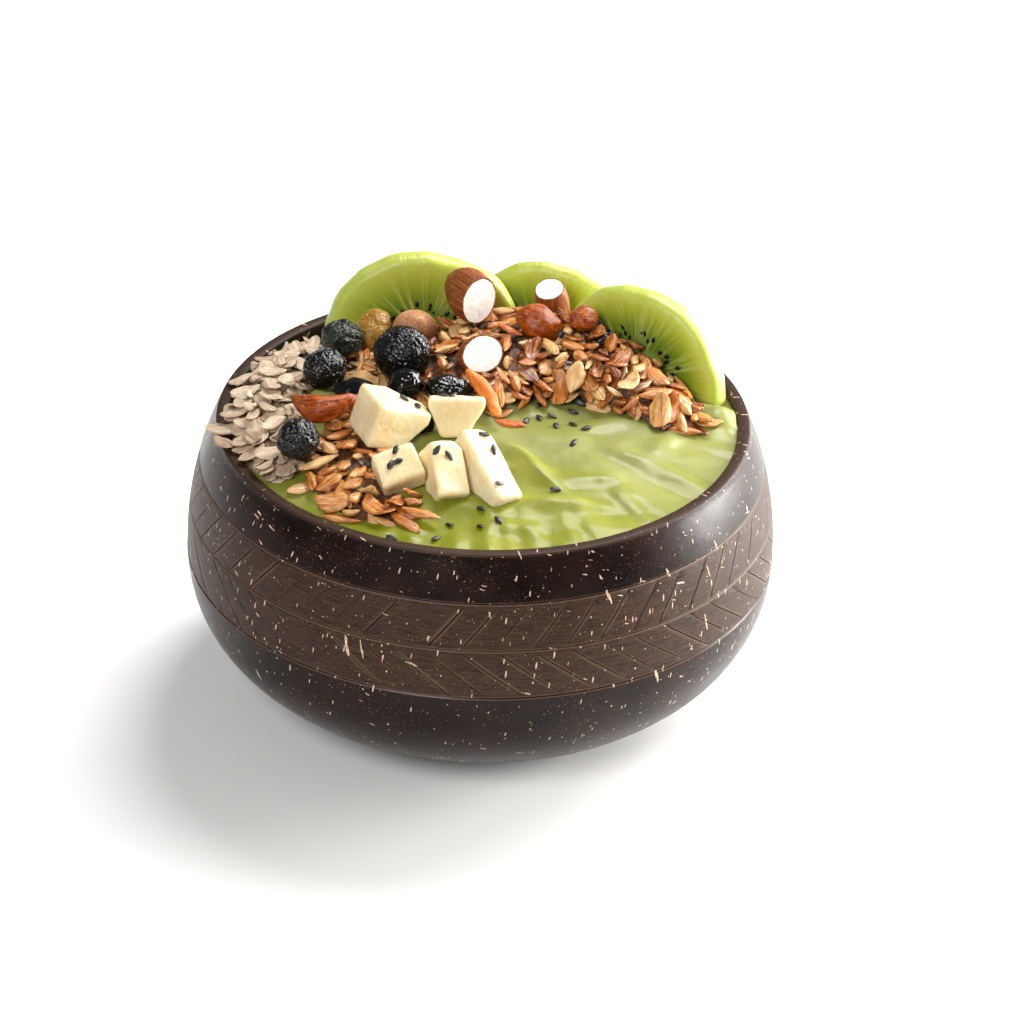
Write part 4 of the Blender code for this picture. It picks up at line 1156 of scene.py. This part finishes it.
def grain_shape(half_sizes, seed, point, curl, crease):
    """One grain or flake along X: pointed, curled, uneven, with a crease along its middle."""
    turns = spaced(0.0, math.pi, GRAIN_ROWS)
    bm = spun([(math.sin(turn), -math.cos(turn)) for turn in turns], GRAIN_TURNS)
    bmesh.ops.rotate(bm, verts=bm.verts, matrix=Matrix.Rotation(math.pi / 2, 3, "Y"))
    for vert in bm.verts:
        along, across, up = vert.co / MM
        uneven = noise.noise(Vector((along * 1.3, across * 1.3, seed * 3.7)))
        slim = 1 - point * max(along, 0.0) ** 1.5 - 0.5 * point * max(-along, 0.0) ** 2
        x = along * (1 + 0.15 * uneven) * half_sizes[0]
        y = across * slim * (1 + 0.45 * uneven) * half_sizes[1]
        valley = crease * math.exp(-(across / 0.35) ** 2) * (1 - along ** 2)
        z = up * slim * half_sizes[2] - math.copysign(valley, up)
        z += curl * (along ** 2 - 0.3) + 0.6 * abs(curl) * uneven
        vert.co = Vector((x, y, z)) * MM
    return Shape(bm)


def spine_point(spine, share):
    """Smooth position along the spine: x, y, half width and height."""
    last = len(spine) - 1
    index = min(int(share * last), last - 1)
    t = share * last - index
    rows = [spine[min(max(index + step, 0), last)] for step in (-1, 0, 1, 2)]
    weights = (-t + 2 * t * t - t ** 3, 2 - 5 * t * t + 3 * t ** 3,
               t + 4 * t * t - 3 * t ** 3, -t * t + t ** 3)
    return [sum(w * row[axis] for w, row in zip(weights, rows)) * 0.5 for axis in range(4)]


def heap_point(spine, along, across, up):
    """A point on the core of a heap, in metres, from its place on the unit ball."""
    share = clamp((along + 1) / 2)
    x, y, half_width, height = spine_point(spine, share)
    ahead = spine_point(spine, min(share + SPINE_STEP, 1.0))
    behind = spine_point(spine, max(share - SPINE_STEP, 0.0))
    side = Vector((behind[1] - ahead[1], ahead[0] - behind[0])).normalized()
    x += side.x * across * half_width
    y += side.y * across * half_width
    lift = up * max(height - CORE_LOWER, 1.0) if up > 0 else up * HEAP_ROOT
    return Vector((x, y, surface_z(x, y) + lift)) * MM


def before_slices(point):
    """Keep a point of a heap on the near side of the kiwi slices that it leans on."""
    for row in (KIWI_SLICES[0], KIWI_SLICES[2]):
        place = kiwi_place(row)
        facing = place.to_3x3() @ Vector((0, 0, 1))
        short = (row[4] / 2 + HEAP_GAP) * MM - (point - place.to_translation()).dot(facing)
        if short > 0:
            point = point + facing * short
    return point


def build_core(node, spine, slot, look):
    """The low mound under the flakes, rough with crumbs."""
    bm = bmesh.new()
    bmesh.ops.create_icosphere(bm, subdivisions=6, radius=1.0)
    for vert in bm.verts:
        across, up, along = vert.co
        vert.co = before_slices(heap_point(spine, along, across * CORE_NARROWER, up))
    push(bm, lambda point: 0.7 * noise.noise(point / 2.2) + 0.4 * noise.noise(point / 0.9))
    bmesh.ops.recalc_face_normals(bm, faces=bm.faces)
    finished(node + "_core", bm, slot, [look], [node])


def heap_spots(spine, count, rng):
    """Evenly spread places on the mound, each with its surface normal."""
    for index in range(count):
        along = SPREAD_REACH * (2 * ((index * SPREAD_ALONG) % 1.0) - 1)
        turn = math.pi * (0.02 + 0.96 * ((index * SPREAD_ACROSS) % 1.0))
        along += rng.uniform(-0.02, 0.02)
        ring = math.sqrt(max(1 - along * along, 0.0))
        near = [heap_point(spine, along + a, ring * math.cos(turn + t), ring * math.sin(turn + t))
                for a, t in ((0, 0), (0.02, 0), (0, 0.05))]
        spot = before_slices(near[0])
        normal = (near[1] - near[0]).cross(near[2] - near[0]).normalized()
        yield spot, normal if normal.z > 0 else -normal


def lay_heap(spine, count, kinds, pile, rng, tilt, darkest=0.0):
    """Lay flakes over a mound. A kind is (share, shapes, scatter, sink in millimetres)."""
    shares = [kind[0] for kind in kinds]
    for spot, normal in heap_spots(spine, count, rng):
        _, shapes, scatter, sink = rng.choices(kinds, shares)[0]
        shape = rng.choice(shapes)
        lean = (normal + Vector((0, 0, 0.6))).normalized().to_track_quat("Z", "Y")
        size = Matrix.Scale(rng.uniform(*GRAIN_SCALES), 4)
        for ease in TILT_EASES:
            turn = Euler([math.radians(rng.uniform(-tilt, tilt)) * ease for _ in range(2)]
                         + [rng.uniform(0.0, math.tau)])
            aim = lean.to_matrix().to_4x4() @ turn.to_matrix().to_4x4() @ size
            matrix = pile.settle(shape, spot - normal * sink * MM, aim, HEAP_TRIES)
            if matrix is not None:
                scatter.add(shape, matrix, rng.uniform(darkest, 1.0))
                break


def tree_of(piece, gap=0.15):
    """A piece's faces, grown a little, for finding what would cross it."""
    bm = bmesh.new()
    bm.from_mesh(piece.data)
    bm.normal_update()
    for vert, move in [(vert, vert.normal * gap * MM) for vert in bm.verts]:
        vert.co += move
    tree = BVHTree.FromBMesh(bm)
    bm.free()
    return tree


def lay_loose(row, kinds, ground, pile):
    """Lay a single grain on the ground, raised until it is clear of what lies there."""
    kind, x, y, size, turn, tone = row
    shapes, scatter = kinds[kind]
    shape = shapes[int(tone * len(shapes)) % len(shapes)]
    down = Vector((0, 0, -1))
    point = ground.ray_cast(Vector((x, y, 2 * BOWL_HEIGHT)) * MM, down)[0]
    aim = placed((0, 0, 0), (0, 0, turn)) @ Matrix.Scale(size, 4)
    matrix = pile.settle(shape, point + Vector((0, 0, HEAP_GAP * MM)), aim, LOOSE_TRIES)
    if matrix is not None:
        scatter.add(shape, matrix, tone)


def build_granola(fixed):
    rng = random.Random(31)
    grains, flakes, crumbs, orange, sesame = (Scatter() for _ in range(5))
    grain_shapes = [grain_shape(size, seed, 0.50, 0.3, 0.25)
                    for seed, size in enumerate(SHORT_GRAINS + LONG_GRAINS)]
    long_shapes = grain_shapes[-len(LONG_GRAINS):]
    flake_shapes = [grain_shape((3.4 + 0.2 * (seed - 8), 2.8, 0.55), seed, 0.25, 1.3, 0.30)
                    for seed in range(8, 14)]
    crumb_shapes = [grain_shape(CRUMB, seed, 0.3, 0.3, 0.1) for seed in range(13, 17)]
    seed_shapes = [grain_shape(HEAP_SESAME, 17, 0.45, 0.0, 0.0)]
    pile = Pile(fixed)
    ground = tree_of(bpy.data.objects["smoothie_fill"], 0.0)
    loose_kinds = {"grain": (long_shapes, grains), "flake": (flake_shapes, flakes),
                   "orange": (long_shapes, orange)}
    for row in LOOSE_GRAINS:
        lay_loose(row, loose_kinds, ground, pile)
    for (spine, low_count, top_count, darkest), shapes in zip(GRANOLA_HEAPS,
                                                              (grain_shapes, long_shapes)):
        under = [(0.60, shapes, grains, 0.6), (0.22, flake_shapes, flakes, 0.4),
                 (0.18, crumb_shapes, crumbs, 0.3)]
        over = [(0.54, shapes, grains, 0.0), (0.25, flake_shapes, flakes, 0.0),
                (0.08, crumb_shapes, crumbs, 0.0), (0.02, long_shapes, orange, 0.0),
                (0.06, seed_shapes, sesame, 0.0)]
        lay_heap(spine, low_count, under, pile, rng, UNDER_TILT, darkest)
        lay_heap(spine, top_count, over, pile, rng, GRANOLA_TILT, darkest)
    for name, heap in (("toasted_grains", grains), ("toasted_flakes", flakes),
                       ("granola_crumbs", crumbs)):
        finished(name, heap.bm, "granola", ["granola"])
    finished("orange_seeds", orange.bm, "sliver", ["orange_seed"])
    finished("granola_sesame", sesame.bm, "berry", ["sesame"])


def build_oats(fixed):
    rng = random.Random(47)
    oats = Scatter()
    ground = tree_of(bpy.data.objects["coconut_bowl"], RIM_CLEARANCE)
    shapes = [grain_shape(size, seed, 0.05, 0.75, 0.30) for seed, size in enumerate(OAT_SIZES, 20)]
    pile = Pile(fixed)
    for row in RIM_OATS:
        lay_loose(row, {"oat": (shapes, oats)}, ground, pile)
    lay_heap(OATS, OAT_COUNTS[0], [(1.0, shapes, oats, 0.5)], pile, rng, UNDER_TILT)
    lay_heap(OATS, OAT_COUNTS[1], [(1.0, shapes, oats, 0.0)], pile, rng, OAT_TILT)
    finished("rolled_oats", oats.bm, "oats", ["oats"])


def drop_seed(tree, start, down, rng):
    """Where a sesame seed lies when it falls from a point, or None."""
    point, normal, _, _ = tree.ray_cast(start, down)
    if point is None:
        return None
    aim = normal.to_track_quat("Z", "Y").to_matrix().to_4x4()
    turn = Euler((rng.uniform(-0.3, 0.3), rng.uniform(-0.3, 0.3), rng.uniform(0.0, math.tau)))
    return Matrix.Translation(point + normal * 0.35 * MM) @ aim @ turn.to_matrix().to_4x4()


def build_loose_sesame():
    """Black sesame on the open smoothie and on the chunks."""
    rng = random.Random(53)
    sesame = Scatter()
    seed = grain_shape(LOOSE_SESAME, 16, 0.55, 0.0, 0.0)
    smoothie = tree_of(bpy.data.objects["smoothie_fill"], 0.0)
    down = Vector((0, 0, -1))
    matrices = [drop_seed(smoothie, Vector((x, y, 2 * BOWL_HEIGHT)) * MM, down, rng)
                for x, y in SESAME_SPOTS]
    for name, size, centre, rotation, *_, spots in CHUNKS:
        tree = tree_of(bpy.data.objects[name + "_flesh"], 0.0)
        place = placed(centre, rotation)
        up = (place.to_3x3() @ Vector((0, 0, 1))).normalized()
        for across, along in spots:
            local = Vector((across * size[0] / 2, along * size[1] / 2, size[2])) * MM
            matrices.append(drop_seed(tree, place @ local, -up, rng))
    for matrix in matrices:
        if matrix is not None:
            sesame.add(seed, matrix, rng.random())
    finished("loose_sesame", sesame.bm, "berry", ["sesame"])


# ---- Stage ----


def build_stage():
    bm = bmesh.new()
    bmesh.ops.create_grid(bm, x_segments=1, y_segments=1, size=4.0)
    mesh = bpy.data.meshes.new("floor")
    bm.to_mesh(mesh)
    bm.free()
    mesh.materials.append(FINISHES["floor"])
    floor = bpy.data.objects.new("floor", mesh)
    bpy.context.scene.collection.objects.link(floor)
    floor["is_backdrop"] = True


def add_light(name, place, size, watts, colour):
    light = bpy.data.lights.new(name, "AREA")
    light.shape = "DISK"
    light.size = size
    light.energy = watts
    light.color = colour
    lamp = bpy.data.objects.new(name, light)
    lamp.location = place
    aim = Vector(LAMP_TARGET) - Vector(place)
    lamp.rotation_euler = aim.to_track_quat("-Z", "Y").to_euler()
    bpy.context.scene.collection.objects.link(lamp)


def light_scene():
    world = bpy.data.worlds.new("studio")
    world.use_nodes = True
    background = world.node_tree.nodes["Background"]
    background.inputs["Color"].default_value = SKY_COLOUR
    background.inputs["Strength"].default_value = SKY_STRENGTH
    bpy.context.scene.world = world
    for lamp in LAMPS:
        add_light(*lamp)
    bpy.context.scene.view_settings.view_transform = "Standard"


def add_camera():
    place = Vector(CAMERA_PLACE)
    ahead = (Vector(CAMERA_TARGET) - place).normalized()
    right = ahead.cross(Vector((0, 0, 1))).normalized()
    up = right.cross(ahead)
    roll = math.radians(CAMERA_ROLL)
    tilted_right = math.cos(roll) * right + math.sin(roll) * up
    tilted_up = -math.sin(roll) * right + math.cos(roll) * up
    lens = bpy.data.cameras.new("camera")
    lens.lens = CAMERA_LENS
    lens.sensor_width = CAMERA_SENSOR
    camera = bpy.data.objects.new("camera", lens)
    camera.matrix_world = Matrix.Translation(place) @ Matrix(
        (tilted_right, tilted_up, -ahead)).transposed().to_4x4()
    bpy.context.scene.collection.objects.link(camera)
    bpy.context.scene.camera = camera


def build_all():
    add_camera()
    light_scene()
    build_stage()
    build_bowl()
    build_smoothie()
    for row in KIWI_SLICES:
        build_kiwi_slice(row)
    build_kiwi_seeds()
    for row in PEBBLES:
        build_pebble(row)
    for row in CUT_ALMONDS:
        build_cut_almond(row)
    for row in CHUNKS:
        build_chunk(row)
    build_core("granola_back", GRANOLA_BACK, "granola", "granola_core")
    build_core("granola_front", GRANOLA_FRONT, "granola", "granola_core")
    build_core("oats", OATS, "oats", "oat_core")
    toppings = [row[0] + "_flesh" for row in KIWI_SLICES + CHUNKS]
    toppings += [row[0] + "_skin" for row in PEBBLES] + [row[0] + "_nut" for row in CUT_ALMONDS]
    fixed = [tree_of(bpy.data.objects[name]) for name in toppings + ["coconut_bowl"]]
    build_granola(fixed)
    build_oats(fixed)
    build_loose_sesame()


FINISHES = make_finishes()
build_all()
[[list(corner) for corner in box] for box in (CAD_BOX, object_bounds())]
